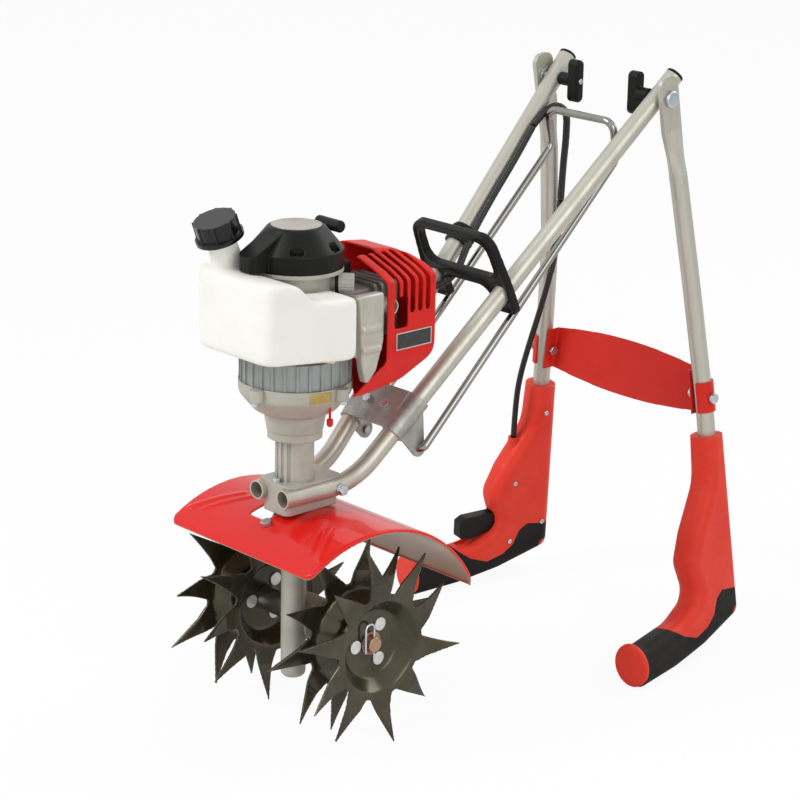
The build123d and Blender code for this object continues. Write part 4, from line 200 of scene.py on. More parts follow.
cable = {
    "axleY": -180.87,      # the axle's place along the frame, mm
    "sides": 16,
    "order": 3, "steps": 40,                   # of the route's spline
    "ribPitch": 2.7, "ribRadius": 3.9, "ribWaist": 2.7,
    "ribCrown": (0.25, 0.7),                   # where in its pitch a rib is thick
    "sleeveRadius": 3.3,
    "sleeveStart": 1.2, "sleeveRing": 4.0,     # its first ring past the ribs, and the step between its rings
    "conduit": [(-46, 65.05, 414), (-46, 101, 414), (-40, 150, 404), (-23, 206, 406), (-36.4, 242, 447),
                (-42, 277, 482), (-47.5, 318, 520), (-51, 345, 549)],
    "bend": [(-51, 345, 549), (-54, 371, 568), (-58.5, 404, 560), (-70, 417, 526), (-77.5, 421.5, 490),
             (-82, 425, 452)],
    "upper": [(-82, 425, 452), (-86.5, 428.5, 414), (-91.5, 424.5, 370), (-102, 420, 325), (-113, 415, 282),
              (-124, 413.5, 242), (-129.85, 414.77, 207.55), (-133.99, 417.66, 169.88)],
    "ribbedUpper": 84.0,   # mm of the last run that still has ribs
}


def readRoute(name):
    curve = bpy.data.curves.new(name + "Route", "CURVE")
    curve.dimensions = "3D"
    spline = curve.splines.new("NURBS")
    spline.points.add(len(cable[name]) - 1)
    for point, (x, y, z) in zip(spline.points, cable[name]):
        point.co = (x / mmPerMetre, (y + cable["axleY"]) / mmPerMetre, z / mmPerMetre, 1)
    spline.order_u = cable["order"]
    spline.use_endpoint_u = True
    spline.resolution_u = cable["steps"]
    line = bpy.data.objects.new(name + "Route", curve)
    bpy.context.scene.collection.objects.link(line)
    traced = bpy.data.meshes.new_from_object(line)
    points = [vertex.co.copy() for vertex in traced.vertices]
    bpy.data.meshes.remove(traced)
    bpy.data.objects.remove(line)
    bpy.data.curves.remove(curve)
    return points


def routeLength(points):
    return sum((after - before).length for before, after in zip(points, points[1:]))


def ribbed(start, end):
    # ring distances and radii of a run of ribs, mm
    pitch, thick, thin = cable["ribPitch"], cable["ribRadius"], cable["ribWaist"]
    rise, fall = cable["ribCrown"]
    rings = []
    for step in range(int((end - start) / pitch)):
        foot = start + step * pitch
        rings += [(foot, thin), (foot + rise * pitch, thick), (foot + fall * pitch, thick)]
    return rings + [(end, thin)]


def sleeved(start, end):
    # ring distances and radii of the smooth sleeve that follows the ribs, mm
    ring, radius = cable["sleeveRing"], cable["sleeveRadius"]
    steps = [cable["sleeveStart"]] + [ring * step for step in range(1, int((end - start) / ring))]
    return [(start + step, radius) for step in steps] + [(end, radius)]


def sweepTube(name, points, rings):
    # a closed tube with one ring at each distance along the route
    along = [0.0]
    for before, after in zip(points, points[1:]):
        along.append(along[-1] + (after - before).length)
    tube = bmesh.new()
    loops = []
    spot, side = 0, None
    for distance, radius in rings:
        reach = min(distance / mmPerMetre, along[-1])
        while spot < len(points) - 2 and along[spot + 1] < reach:
            spot += 1
        way = (points[spot + 1] - points[spot]).normalized()
        centre = points[spot] + way * (reach - along[spot])
        side = way.orthogonal().normalized() if side is None else (side - way * side.dot(way)).normalized()
        across = way.cross(side)
        loop = []
        for corner in range(cable["sides"]):
            turn = 2 * math.pi * corner / cable["sides"]
            out = side * math.cos(turn) + across * math.sin(turn)
            loop.append(tube.verts.new(centre + out * radius / mmPerMetre))
        loops.append(loop)
    for near, far in zip(loops, loops[1:]):
        for corner in range(cable["sides"]):
            after = (corner + 1) % cable["sides"]
            tube.faces.new((near[corner], near[after], far[after], far[corner]))
    tube.faces.new(loops[0][::-1])
    tube.faces.new(loops[-1])
    mesh = bpy.data.meshes.new(name)
    tube.to_mesh(mesh)
    tube.free()
    mesh.shade_smooth()
    piece = bpy.data.objects.new(name, mesh)
    bpy.context.scene.collection.objects.link(piece)
    return piece


cords = {}
for run, node in (("conduit", "throttle_conduit"), ("bend", "cable_bend"), ("upper", "cable_upper")):
    points = readRoute(run)
    length = routeLength(points)
    if run == "upper":
        rings = ribbed(0, cable["ribbedUpper"]) + sleeved(cable["ribbedUpper"], length * mmPerMetre)
    else:
        rings = ribbed(0, length * mmPerMetre)
    piece = sweepTube(run + "Cable", points, rings)
    if run == "bend":
        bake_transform(piece)
    else:
        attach(piece, "frame" if run == "conduit" else "upper_handles")
    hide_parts(node)
    cords[run] = piece
print("throttle cable run:", ", ".join(cords))


# shared surface effects

patches = {"detail": 5, "rough": 0.6, "middle": 0.5}       # the two tones meet at the noise's middle
grit = {"detail": 3, "height": 0.0004, "samples": 6}       # height of the grain, m
rubbing = {
    "detail": 4, "broken": (0.38, 0.62), "samples": 6,
    "edge": (0.99, 0.86),      # how near the rounded normal is to the true one
}
# painted shade in inner corners: how they are found and broken up
cornerShading = {
    "detail": 5, "broken": (0.3, 0.7), "samples": 4,
    "hollow": (0.95, 0.45),    # how open a corner is
}


def openGroup(name, inputs, outputs):
    tree = bpy.data.node_groups.new(name, "ShaderNodeTree")
    for label, kind, value in inputs:
        socket = tree.interface.new_socket(name=label, in_out="INPUT", socket_type="NodeSocket" + kind)
        socket.default_value = value
    for label, kind in outputs:
        tree.interface.new_socket(name=label, in_out="OUTPUT", socket_type="NodeSocket" + kind)
    return tree, tree.nodes.new("NodeGroupInput"), tree.nodes.new("NodeGroupOutput")


def ramp(tree, limits):
    # from 0 at the first limit to 1 at the second
    return addNode(tree, "MapRange", {"From Min": limits[0], "From Max": limits[1]})


def stretchedNoise(tree, enter, values):
    # noise over the piece, at the group's own scale and stretch
    where = addNode(tree, "TexCoord")
    mapping = addNode(tree, "Mapping")
    noise = addNode(tree, "TexNoise", values)
    join(tree,
         (where.outputs["Object"], mapping.inputs["Vector"]),
         (enter.outputs["Stretch"], mapping.inputs["Scale"]),
         (mapping.outputs[0], noise.inputs["Vector"]),
         (enter.outputs["Scale"], noise.inputs["Scale"]))
    return noise.outputs[0]


def brokenMask(tree, enter, leave, mask, shape):
    # noise breaks the mask up, and the group's amount thins it
    where = addNode(tree, "TexCoord")
    noise = addNode(tree, "TexNoise", {"Detail": shape["detail"]})
    broken = ramp(tree, shape["broken"])
    times = addNode(tree, "Math", operation="MULTIPLY")
    amount = addNode(tree, "Math", operation="MULTIPLY")
    join(tree,
         (where.outputs["Object"], noise.inputs["Vector"]),
         (enter.outputs["Scale"], noise.inputs["Scale"]),
         (noise.outputs[0], broken.inputs["Value"]),
         (mask, times.inputs[0]),
         (broken.outputs[0], times.inputs[1]),
         (times.outputs[0], amount.inputs[0]),
         (enter.outputs["Amount"], amount.inputs[1]),
         (amount.outputs[0], leave.inputs["Mask"]))


def toneDrift():
    # two colours that drift into each other in soft patches
    tree, enter, leave = openGroup("toneDrift", [
        ("Tone", "Color", (0.5, 0.5, 0.5, 1)), ("Second Tone", "Color", (0.4, 0.4, 0.4, 1)),
        ("Scale", "Float", 20.0), ("Stretch", "Vector", (1, 1, 1)), ("Sharpness", "Float", 0.3)],
        [("Color", "Color"), ("Mask", "Float")])
    noise = stretchedNoise(tree, enter, {"Detail": patches["detail"], "Roughness": patches["rough"]})
    low = addNode(tree, "Math", {0: patches["middle"]}, operation="SUBTRACT")
    high = addNode(tree, "Math", {0: patches["middle"]}, operation="ADD")
    soft = addNode(tree, "MapRange", interpolation_type="SMOOTHSTEP")
    mix = addNode(tree, "Mix", data_type="RGBA")
    join(tree,
         (enter.outputs["Sharpness"], low.inputs[1]),
         (enter.outputs["Sharpness"], high.inputs[1]),
         (noise, soft.inputs["Value"]),
         (low.outputs[0], soft.inputs["From Min"]),
         (high.outputs[0], soft.inputs["From Max"]),
         (soft.outputs[0], mix.inputs["Factor"]),
         (enter.outputs["Tone"], mix.inputs[colourA]),
         (enter.outputs["Second Tone"], mix.inputs[colourB]),
         (mix.outputs[mixedColour], leave.inputs["Color"]),
         (soft.outputs[0], leave.inputs["Mask"]))
    return tree


def softGrain():
    # rounded edges with a fine moulded or cast grain on them
    tree, enter, leave = openGroup("softGrain", [
        ("Rounding", "Float", 0.0006), ("Scale", "Float", 900.0), ("Depth", "Float", 0.2),
        ("Stretch", "Vector", (1, 1, 1))], [("Normal", "Vector")])
    noise = stretchedNoise(tree, enter, {"Detail": grit["detail"]})
    rounded = addNode(tree, "Bevel", samples=grit["samples"])
    bump = addNode(tree, "Bump", {"Distance": grit["height"]})
    join(tree,
         (enter.outputs["Rounding"], rounded.inputs["Radius"]),
         (enter.outputs["Depth"], bump.inputs["Strength"]),
         (noise, bump.inputs["Height"]),
         (rounded.outputs[0], bump.inputs["Normal"]),
         (bump.outputs[0], leave.inputs["Normal"]))
    return tree


def edgeRub():
    # mask of outer edges where handling rubs the finish
    tree, enter, leave = openGroup("edgeRub", [
        ("Width", "Float", 0.0008), ("Amount", "Float", 0.6), ("Scale", "Float", 160.0)], [("Mask", "Float")])
    geometry = addNode(tree, "NewGeometry")
    rounded = addNode(tree, "Bevel", samples=rubbing["samples"])
    dot = addNode(tree, "VectorMath", operation="DOT_PRODUCT")
    edge = ramp(tree, rubbing["edge"])
    join(tree,
         (enter.outputs["Width"], rounded.inputs["Radius"]),
         (geometry.outputs["Normal"], dot.inputs[0]),
         (rounded.outputs[0], dot.inputs[1]),
         (dot.outputs["Value"], edge.inputs["Value"]))
    brokenMask(tree, enter, leave, edge.outputs[0], rubbing)
    return tree


def cornerShadeMask():
    # mask of inner corners, found by ambient occlusion, where painted shade is laid
    tree, enter, leave = openGroup("cornerShadeMask", [
        ("Reach", "Float", 0.004), ("Amount", "Float", 0.3), ("Scale", "Float", 70.0)], [("Mask", "Float")])
    corner = addNode(tree, "AmbientOcclusion", samples=cornerShading["samples"])
    hollow = ramp(tree, cornerShading["hollow"])
    join(tree,
         (enter.outputs["Reach"], corner.inputs["Distance"]),
         (corner.outputs["AO"], hollow.inputs["Value"]))
    brokenMask(tree, enter, leave, hollow.outputs[0], cornerShading)
    return tree


effects = {"drift": toneDrift(), "grain": softGrain(), "rub": edgeRub(), "dust": cornerShadeMask()}
print("surface effects made:", ", ".join(effects))


# finishes

plainLook = {
    "tone": (128, 128, 128), "second": (110, 110, 110), "patch": 20.0, "stretch": (1, 1, 1), "sharp": 0.3,
    "rough": (0.4, 0.5), "metal": 0.0, "specular": 0.35, "coat": 0.0, "coatRough": 0.1,
    "rounding": 0.0006, "grain": 900.0, "depth": 0.15, "grainStretch": (1, 1, 1),
    "rub": 0.0, "rubTone": (200, 200, 200), "rubWidth": 0.0008,
    # painted shade in inner corners: its amount, darker tone and reach
    "dust": 0.0, "cornerShadeTone": (70, 66, 58), "cornerShadeReach": 0.004,
    "subsurface": 0.0, "scatter": (0.006, 0.006, 0.005), "scatterScale": 0.5,
    "below": None,     # tone and height in metres of a lower part with another colour
    "belowBlend": 0.0006,
    "under": None,     # tone of faces that look down
    "underFrom": (-0.12, -0.3),
}


def makeFinish(name, look):
    paint = bpy.data.materials.new(name)
    paint.use_nodes = True
    tree = paint.node_tree
    shader = tree.nodes["Principled BSDF"]

    def effect(kind, values):
        return addNode(tree, "Group", values, node_tree=effects[kind])

    def over(colour, mask, tone):
        # lays a tone over the colour where the mask is
        mix = addNode(tree, "Mix", {colourB: tint(*tone)}, data_type="RGBA")
        join(tree, (mask, mix.inputs["Factor"]), (colour, mix.inputs[colourA]))
        return mix.outputs[mixedColour]

    def band(vector, limits):
        # mask from the vector's upward part
        split = addNode(tree, "SeparateXYZ")
        mask = ramp(tree, limits)
        join(tree, (vector, split.inputs[0]), (split.outputs["Z"], mask.inputs["Value"]))
        return mask.outputs[0]

    drift = effect("drift", {"Tone": tint(*look["tone"]), "Second Tone": tint(*look["second"]),
                             "Scale": look["patch"], "Stretch": look["stretch"], "Sharpness": look["sharp"]})
    grain = effect("grain", {"Rounding": look["rounding"], "Scale": look["grain"], "Depth": look["depth"],
                             "Stretch": look["grainStretch"]})
    rough = addNode(tree, "MapRange", {"To Min": look["rough"][0], "To Max": look["rough"][1]})
    colour = drift.outputs["Color"]
    if look["below"] or look["under"]:
        where = addNode(tree, "TexCoord")
    if look["below"]:
        tone, height = look["below"]
        limits = (height + look["belowBlend"], height - look["belowBlend"])
        colour = over(colour, band(where.outputs["Object"], limits), tone)
    if look["under"]:
        colour = over(colour, band(where.outputs["Normal"], look["underFrom"]), look["under"])
    # painted shade: a darker tone laid into inner corners
    if look["dust"]:
        dust = effect("dust", {"Reach": look["cornerShadeReach"], "Amount": look["dust"]})
        colour = over(colour, dust.outputs["Mask"], look["cornerShadeTone"])
    if look["rub"]:
        rub = effect("rub", {"Width": look["rubWidth"], "Amount": look["rub"]})
        colour = over(colour, rub.outputs["Mask"], look["rubTone"])
    join(tree,
         (colour, shader.inputs["Base Color"]),
         (drift.outputs["Mask"], rough.inputs["Value"]),
         (rough.outputs[0], shader.inputs["Roughness"]),
         (grain.outputs["Normal"], shader.inputs["Normal"]))
    plain = {"Metallic": look["metal"], "Specular IOR Level": look["specular"],
             "Coat Weight": look["coat"], "Coat Roughness": look["coatRough"]}
    if look["subsurface"]:
        plain.update({"Subsurface Weight": look["subsurface"], "Subsurface Radius": look["scatter"],
                      "Subsurface Scale": look["scatterScale"]})
    for socket, value in plain.items():
        shader.inputs[socket].default_value = value
    return paint


# the darker corner tones below are painted shade in inner corners
looks = {
    "fenderRed": dict(tone=(222, 28, 22), second=(210, 20, 16), patch=8, rough=(0.3, 0.38), specular=0.15,
                      coat=0.4, coatRough=0.05, rounding=0.0015, grain=300, depth=0.04, rub=0.3,
                      rubTone=(236, 120, 110), under=(168, 132, 104)),
    "coverRed": dict(tone=(218, 36, 28), second=(204, 28, 22), patch=30, rough=(0.34, 0.46), specular=0.2,
                     rounding=0.0014, grain=1500, depth=0.12, rub=0.4, rubTone=(236, 110, 98), dust=0.35,
                     cornerShadeTone=(92, 16, 14)),
    "braceRed": dict(tone=(208, 42, 32), second=(198, 34, 26), patch=14, rough=(0.34, 0.46), specular=0.2,
                     rounding=0.001, grain=1200, depth=0.14, rub=0.3, rubTone=(232, 120, 108)),
    "saddleRed": dict(tone=(216, 46, 36), second=(204, 37, 28), patch=30, rough=(0.3, 0.42), specular=0.2,
                      rounding=0.0012, grain=1500, depth=0.14, rub=0.3, rubTone=(240, 130, 116)),
    "gripRed": dict(tone=(228, 64, 46), second=(217, 54, 38), patch=24, rough=(0.4, 0.54), specular=0.2,
                    rounding=0.0016, grain=1600, depth=0.28, rub=0.3, rubTone=(242, 140, 118), dust=0.3,
                    cornerShadeTone=(120, 26, 18)),
    "tubeSilver": dict(tone=(190, 188, 176), second=(176, 174, 162), patch=60, stretch=(1, 1, 0.2),
                       rough=(0.32, 0.42), metal=0.55, coat=0.2, coatRough=0.2, grain=1300, depth=0.06),
    "castGrey": dict(tone=(186, 183, 172), second=(168, 165, 153), patch=34, rough=(0.46, 0.6), metal=0.35,
                     rounding=0.0014, grain=1100, depth=0.4, rub=0.5, rubTone=(216, 212, 202), dust=0.5,
                     cornerShadeTone=(84, 80, 70)),
    "caseCast": dict(tone=(187, 184, 173), second=(168, 165, 153), patch=40, rough=(0.44, 0.58), metal=0.35,
                     rounding=0.001, grain=1000, depth=0.4, rub=0.4, rubTone=(214, 210, 198), dust=0.6,
                     cornerShadeTone=(52, 52, 50), below=((150, 153, 152), 0.384)),
    "cylinderCast": dict(tone=(150, 148, 142), second=(128, 126, 120), patch=40, rough=(0.45, 0.6),
                         metal=0.5, rounding=0.0008, grain=1000, depth=0.4, dust=0.8,
                         cornerShadeTone=(38, 36, 33)),
    "tineSteel": dict(tone=(80, 75, 57), second=(60, 56, 42), patch=22, sharp=0.22, rough=(0.2, 0.3),
                      metal=0.7, specular=0.3, coat=0.3, coatRough=0.12, rounding=0.0008, grain=700,
                      depth=0.05, rub=0.25, rubTone=(146, 140, 116), rubWidth=0.001),
    "tankWhite": dict(tone=(240, 240, 233), second=(233, 233, 224), patch=14, rough=(0.34, 0.46),
                      rounding=0.0015, grain=1300, depth=0.08, subsurface=0.3),
    "capBlack": dict(tone=(10, 10, 9), second=(7, 7, 6), patch=40, rough=(0.16, 0.26), specular=0.2,
                     coat=0.3, coatRough=0.12, rounding=0.0012, grain=1500, depth=0.1, rub=0.4,
                     rubTone=(96, 94, 90)),
    "blackPlastic": dict(tone=(17, 17, 15), second=(12, 12, 11), patch=40, rough=(0.34, 0.46),
                         specular=0.18, rounding=0.0015, grain=1500, depth=0.22, rub=0.5,
                         rubTone=(92, 90, 84)),
    "rubber": dict(tone=(22, 21, 19), second=(16, 16, 14), patch=50, rough=(0.5, 0.66), specular=0.18,
                   rounding=0.0014, grain=1800, depth=0.4, rub=0.3, rubTone=(70, 68, 64)),
    "cableBlack": dict(tone=(16, 16, 14), second=(12, 12, 10), patch=60, rough=(0.26, 0.36), specular=0.45,
                       rounding=0.0003, grain=1800, depth=0.15, rub=0.3, rubTone=(74, 72, 68),
                       rubWidth=0.0004),
    "padCream": dict(tone=(226, 218, 188), second=(214, 205, 172), patch=40, rough=(0.42, 0.55), grain=1400,
                     depth=0.15),
    "zinc": dict(tone=(204, 210, 214), second=(176, 184, 190), patch=45, sharp=0.2, rough=(0.2, 0.34),
                 metal=0.9, grain=800, depth=0.08, rub=0.3, rubTone=(230, 232, 232)),
    "bracketZinc": dict(tone=(172, 172, 166), second=(140, 140, 134), patch=45, sharp=0.2,
                        rough=(0.36, 0.5), metal=0.55, grain=800, depth=0.1, rub=0.4,
                        rubTone=(222, 224, 222)),
    "brightRivet": dict(tone=(226, 226, 222), second=(206, 206, 202), patch=80, rough=(0.24, 0.38),
                        metal=0.8, rounding=0.0008, grain=900, depth=0.12),
    "chromeWire": dict(tone=(158, 157, 152), second=(140, 139, 134), patch=70, stretch=(1, 0.25, 0.25),
                       rough=(0.12, 0.2), metal=1.0, grain=500, depth=0.03),
    "axleTan": dict(tone=(180, 146, 116), second=(156, 124, 98), patch=70, rough=(0.28, 0.42), metal=0.7,
                    rounding=0.0006, grain=900, depth=0.15, rub=0.4, rubTone=(214, 190, 164)),
    "machinedSteel": dict(tone=(160, 157, 148), second=(138, 135, 126), patch=60, rough=(0.3, 0.42),
                          metal=0.9, grain=900, depth=0.15, grainStretch=(0.1, 1, 1), rub=0.4),
    "mufflerSheet": dict(tone=(194, 190, 179), second=(170, 166, 155), patch=28, rough=(0.3, 0.46),
                         metal=0.5, rounding=0.0018, grain=700, depth=0.18, rub=0.4,
                         rubTone=(228, 224, 214)),
    "plugGrey": dict(tone=(206, 205, 196), second=(190, 189, 180), patch=40, rough=(0.42, 0.55),
                     rounding=0.0008, grain=1400, depth=0.2),
    "bronze": dict(tone=(190, 150, 82), second=(168, 128, 66), patch=50, rough=(0.3, 0.42), metal=0.9,
                   grain=900, depth=0.15),
    "plateGold": dict(tone=(178, 158, 96), second=(160, 140, 82), patch=90, rough=(0.3, 0.42), metal=0.6,
                      grain=1500, depth=0.08, rub=0.5, rubTone=(214, 200, 150)),
    "plateSilver": dict(tone=(182, 176, 170), second=(166, 160, 154), patch=60, rough=(0.3, 0.42),
                        metal=0.5, rounding=0.0004, grain=1500, depth=0.08),
    "plateDark": dict(tone=(58, 56, 54), second=(48, 46, 45), patch=70, rough=(0.34, 0.46), rounding=0.0003,
                      grain=1500, depth=0.08),
    "plateRim": dict(tone=(196, 190, 184), second=(180, 174, 168), patch=70, rough=(0.36, 0.48),
                     rounding=0.0003, grain=1500, depth=0.08),
}
finishes = {name: makeFinish(name, {**plainLook, **look}) for name, look in looks.items()}
wearing = {
    "fenderRed": ["fender"],
    "coverRed": ["cylinder_cover"],
    "braceRed": ["handle_brace"],
    "saddleRed": ["brace_saddles"],
    "gripRed": ["grip_left", "grip_right", "grip_caps"],
    "tubeSilver": ["lower_handle_left", "lower_handle_right", "upper_handle_left", "upper_handle_right"],
    "castGrey": ["gear_housing", "drive_column", "clutch_bell", "carburettor"],
    "caseCast": ["crankcase"],
    "cylinderCast": ["cylinder"],
    "tineSteel": ["tine_outer_left", "tine_inner_left", "tine_outer_right", "tine_inner_right"],
    "tankWhite": ["fuel_tank"],
    "capBlack": ["fuel_cap"],
    "blackPlastic": ["recoil_cover", "starter_grip", "tube_plugs", "fold_knob_left", "fold_knob_right",
                     "carry_handle", "air_cleaner", "throttle_trigger", "stop_switch", "cable_clip",
                     "choke_lever", "recoil_reel"],
    "rubber": ["grip_rubbers", "oil_seal", "plug_boot"],
    "padCream": ["tank_pads"],
    "bracketZinc": ["stand_bracket"],
    "zinc": ["clamp_bolt", "frame_screws", "brace_bolts", "fold_bolts", "axle_pins"],
    "brightRivet": ["tine_rivets"],
    "chromeWire": ["kickstand"],
    "axleTan": ["tine_axle"],
    "machinedSteel": ["tine_hubs", "worm_shaft", "clutch_drum", "crankshaft", "flywheel_fan", "spark_plug"],
    "mufflerSheet": ["muffler"],
    "plugGrey": ["oil_plug"],
    "bronze": ["worm_wheel"],
}
for name, wearers in wearing.items():
    for node in wearers:
        nodes[node].data.materials.clear()
        nodes[node].data.materials.append(finishes[name])
for piece in cords.values():
    piece.data.materials.append(finishes["cableBlack"])
print("finishes made:", len(finishes))


# pieces shaped in this scene

facing = 0.9       # how squarely a face looks along an axis, to be picked by it


def clearHands():
    # object mode, with nothing selected
    if bpy.context.mode != "OBJECT":
        bpy.ops.object.mode_set(mode="OBJECT")
    bpy.ops.object.select_all(action="DESELECT")


def takeUp(piece):
    # the one object that operators act on
    clearHands()
    piece.select_set(True)
    bpy.context.view_layer.objects.active = piece


def pickFaces(piece, wanted=None):
    # edit mode, with the faces selected whose normal is wanted, or all of them
    takeUp(piece)
    bpy.ops.object.mode_set(mode="EDIT")
    bpy.ops.mesh.select_mode(type="FACE")
    bpy.ops.mesh.select_all(action="DESELECT")
    shape = bmesh.from_edit_mesh(piece.data)
    shape.normal_update()
    for face in shape.faces:
        face.select_set(wanted is None or wanted(face.normal))
    bmesh.update_edit_mesh(piece.data)


def pullOut(offset):
    # extrudes the selected faces or edges
    bpy.ops.mesh.extrude_region_move(TRANSFORM_OT_translate={"value": offset})


def faceOutwards():
    # ends edit mode with all normals outwards
    bpy.ops.mesh.select_all(action="SELECT")
    bpy.ops.mesh.normals_make_consistent(inside=False)
    bpy.ops.object.mode_set(mode="OBJECT")


def finishShape(piece, kind, **settings):
    # adds a modifier and applies it
    takeUp(piece)
    modifier = piece.modifiers.new(kind.lower(), kind)
    for label, value in settings.items():
        setattr(modifier, label, value)
    bpy.ops.object.modifier_apply(modifier=modifier.name)


def roundEdges(piece, width, segments=2, sharper=50):
    # bevels the edges that are sharper than an angle
    finishShape(piece, "BEVEL", width=width, segments=segments, limit_method="ANGLE",
                angle_limit=math.radians(sharper))


def bakePlace(piece):
    # the place goes into the mesh, and the object sits at the origin
    takeUp(piece)
    bpy.ops.object.transform_apply(location=True, rotation=True, scale=True)


def dressPiece(piece, name, finish, crease=40):
    bakePlace(piece)
    bpy.ops.object.shade_smooth_by_angle(angle=math.radians(crease))
    piece.name = name
    piece.data.name = name
    piece.data.materials.append(finishes[finish])


def fitPiece(piece, name, body, finish, crease=40):
    dressPiece(piece, name, finish, crease)
    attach(piece, body)


softening = {"weld": 0.00001, "factor": 0.5}       # merged distance, m, and share smoothed at each pass


def softShell(node, name, voxel, passes, softness=None):
    # a copy of a node's mesh, rounded by remeshing and smoothing, as much as the softness at each place says
    shell = bpy.data.objects.new(name, nodes[node].data.copy())
    bpy.context.scene.collection.objects.link(shell)
    shell.data.materials.clear()
    pickFaces(shell)
    bpy.ops.mesh.remove_doubles(threshold=softening["weld"])
    bpy.ops.object.mode_set(mode="OBJECT")
    finishShape(shell, "REMESH", mode="VOXEL", voxel_size=voxel)
    smoothing = {"factor": softening["factor"], "iterations": passes}
    if softness:
        group = shell.vertex_groups.new(name="soft")
        for vertex in shell.data.vertices:
            group.add([vertex.index], softness(vertex.co), "REPLACE")
        smoothing["vertex_group"] = "soft"
    finishShape(shell, "SMOOTH", **smoothing)
    shell.vertex_groups.clear()
    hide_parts(node)
    return shell


def ease(value, low, high):
    share = min(max((value - low) / (high - low), 0), 1)
    return share * share * (3 - 2 * share)


tank = {
    "voxel": 0.0022,
    "passes": 45,
    "neckFoot": (-0.036, -0.25057, 0.4458),
    "neckWay": (0, -0.34202, 0.93969),
    "neckStart": 0.008,                # from this far above its foot, the neck keeps its shape
    "neckWidth": (0.019, 0.030),       # within the first it keeps its shape, and it softens by the second
}


def moldTank():
    foot, way = Vector(tank["neckFoot"]), Vector(tank["neckWay"])

    def softness(place):
        offset = place - foot
        rise = offset.dot(way)
        if rise < tank["neckStart"]:
            return 1.0
        return ease((offset - way * rise).length, *tank["neckWidth"])

    shell = softShell("fuel_tank", "tankShell", tank["voxel"], tank["passes"], softness)
    fitPiece(shell, "tankShell", "frame", "tankWhite", crease=80)


shells = {
    "muffler": {"voxel": 0.0013, "passes": 9, "slot": "muffler_steel", "finish": "mufflerSheet"},
    "fender": {"voxel": 0.00125, "passes": 7, "slot": "red_paint", "finish": "fenderRed"},
    "cylinder_cover": {"voxel": 0.0012, "passes": 7, "slot": "red_plastic", "finish": "coverRed"},
    "carry_handle": {"voxel": 0.001, "passes": 22, "slot": "black_plastic", "finish": "blackPlastic"},
}


def roundShells():
    for node, shell in shells.items():
        first, *rest = node.split("_")
        name = first + "".join(part.capitalize() for part in rest) + "Shell"
        piece = softShell(node, name, shell["voxel"], shell["passes"])
        fitPiece(piece, name, "frame", shell["finish"], crease=80)


brace = {
    "voxel": 0.001,
    "passes": 5,
    "narrow": 0.24,        # how much lower its ends are than its middle
}


def shapeBrace():
    piece = softShell("handle_brace", "handleBraceShell", brace["voxel"], brace["passes"])
    low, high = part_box("handle_brace")
    level = (low[2] + high[2]) / 2
    for vertex in piece.data.vertices:
        share = min(abs(vertex.co.x) / high[0], 1)
        vertex.co.z = level + (vertex.co.z - level) * (1 - brace["narrow"] * share ** 2)
    fitPiece(piece, "handleBraceShell", "upper_handles", "braceRed", crease=80)


tines = {
    "nodes": ["tine_outer_left", "tine_inner_left", "tine_outer_right", "tine_inner_right"],
    "axle": (-0.18087, 0.102),
    "voxel": 0.001,
    "passes": 30,
    "dish": (0.020, 0.027, 0.050, 0.058),      # the pressed dish softens between these radii
    "blades": 0.10,                            # how much the rest softens
}


def pressTines():
    inner, start, end, outer = tines["dish"]

    def softness(place):
        radius = math.hypot(place.y - tines["axle"][0], place.z - tines["axle"][1])
        share = ease(radius, inner, start) * (1 - ease(radius, end, outer))
        return tines["blades"] + (1 - tines["blades"]) * share

    for node in tines["nodes"]:
        name = "tineShell" + "".join(part.capitalize() for part in node.split("_")[1:])
        shell = softShell(node, name, tines["voxel"], tines["passes"], softness)
        fitPiece(shell, name, "tines", "tineSteel", crease=55)


starterPlate = {"centre": (0, -0.20587, 0.50695), "radius": 0.0243, "height": 0.0009, "rim": 0.0022,
                "sink": 0.0005, "sides": 72, "edge": 0.0002}


def setStarterPlate():
    clearHands()
    bpy.ops.mesh.primitive_circle_add(vertices=starterPlate["sides"], radius=starterPlate["radius"],
                                      fill_type="NGON", location=starterPlate["centre"])
    piece = bpy.context.object
    bakePlace(piece)
    pickFaces(piece)
    pullOut((0, 0, starterPlate["height"]))
    bpy.ops.mesh.inset(thickness=starterPlate["rim"])
    pullOut((0, 0, -starterPlate["sink"]))
    faceOutwards()
    roundEdges(piece, starterPlate["edge"])
    fitPiece(piece, "starterPlate", "frame", "plateSilver")


bellPlate = {
    "centre": (0, -0.20587),
    "radius": 0.0552,
    "low": 0.3455, "high": 0.3556,
    "from": -27.0, "to": -1.0,         # degrees round the bell
    "sheet": 0.0005,
    "sides": 180, "edge": 0.00015,
}


def setBellPlate():
    # a strip of a round band: the ring's other corners are deleted
    clearHands()
    bpy.ops.mesh.primitive_circle_add(vertices=bellPlate["sides"], radius=bellPlate["radius"],
                                      location=(*bellPlate["centre"], bellPlate["low"]))
    piece = bpy.context.object
    bakePlace(piece)
    bpy.ops.object.mode_set(mode="EDIT")
    bpy.ops.mesh.select_mode(type="VERT")
    bpy.ops.mesh.select_all(action="DESELECT")
    shape = bmesh.from_edit_mesh(piece.data)
    middleX, middleY = bellPlate["centre"]
    for corner in shape.verts:
        turn = math.degrees(math.atan2(corner.co.y - middleY, corner.co.x - middleX))
        corner.select_set(not bellPlate["from"] <= turn <= bellPlate["to"])
    bmesh.update_edit_mesh(piece.data)
    bpy.ops.mesh.delete(type="VERT")
    bpy.ops.mesh.select_all(action="SELECT")
    pullOut((0, 0, bellPlate["high"] - bellPlate["low"]))
    faceOutwards()
    finishShape(piece, "SOLIDIFY", thickness=bellPlate["sheet"], offset=0)
    roundEdges(piece, bellPlate["edge"])
    fitPiece(piece, "bellPlate", "frame", "plateGold")


coverPlate = {"x": 0.06195, "y": (-0.1321, -0.0858), "z": (0.3832, 0.4002), "sheet": 0.0007, "rim": 0.0011,
              "sink": 0.0002}


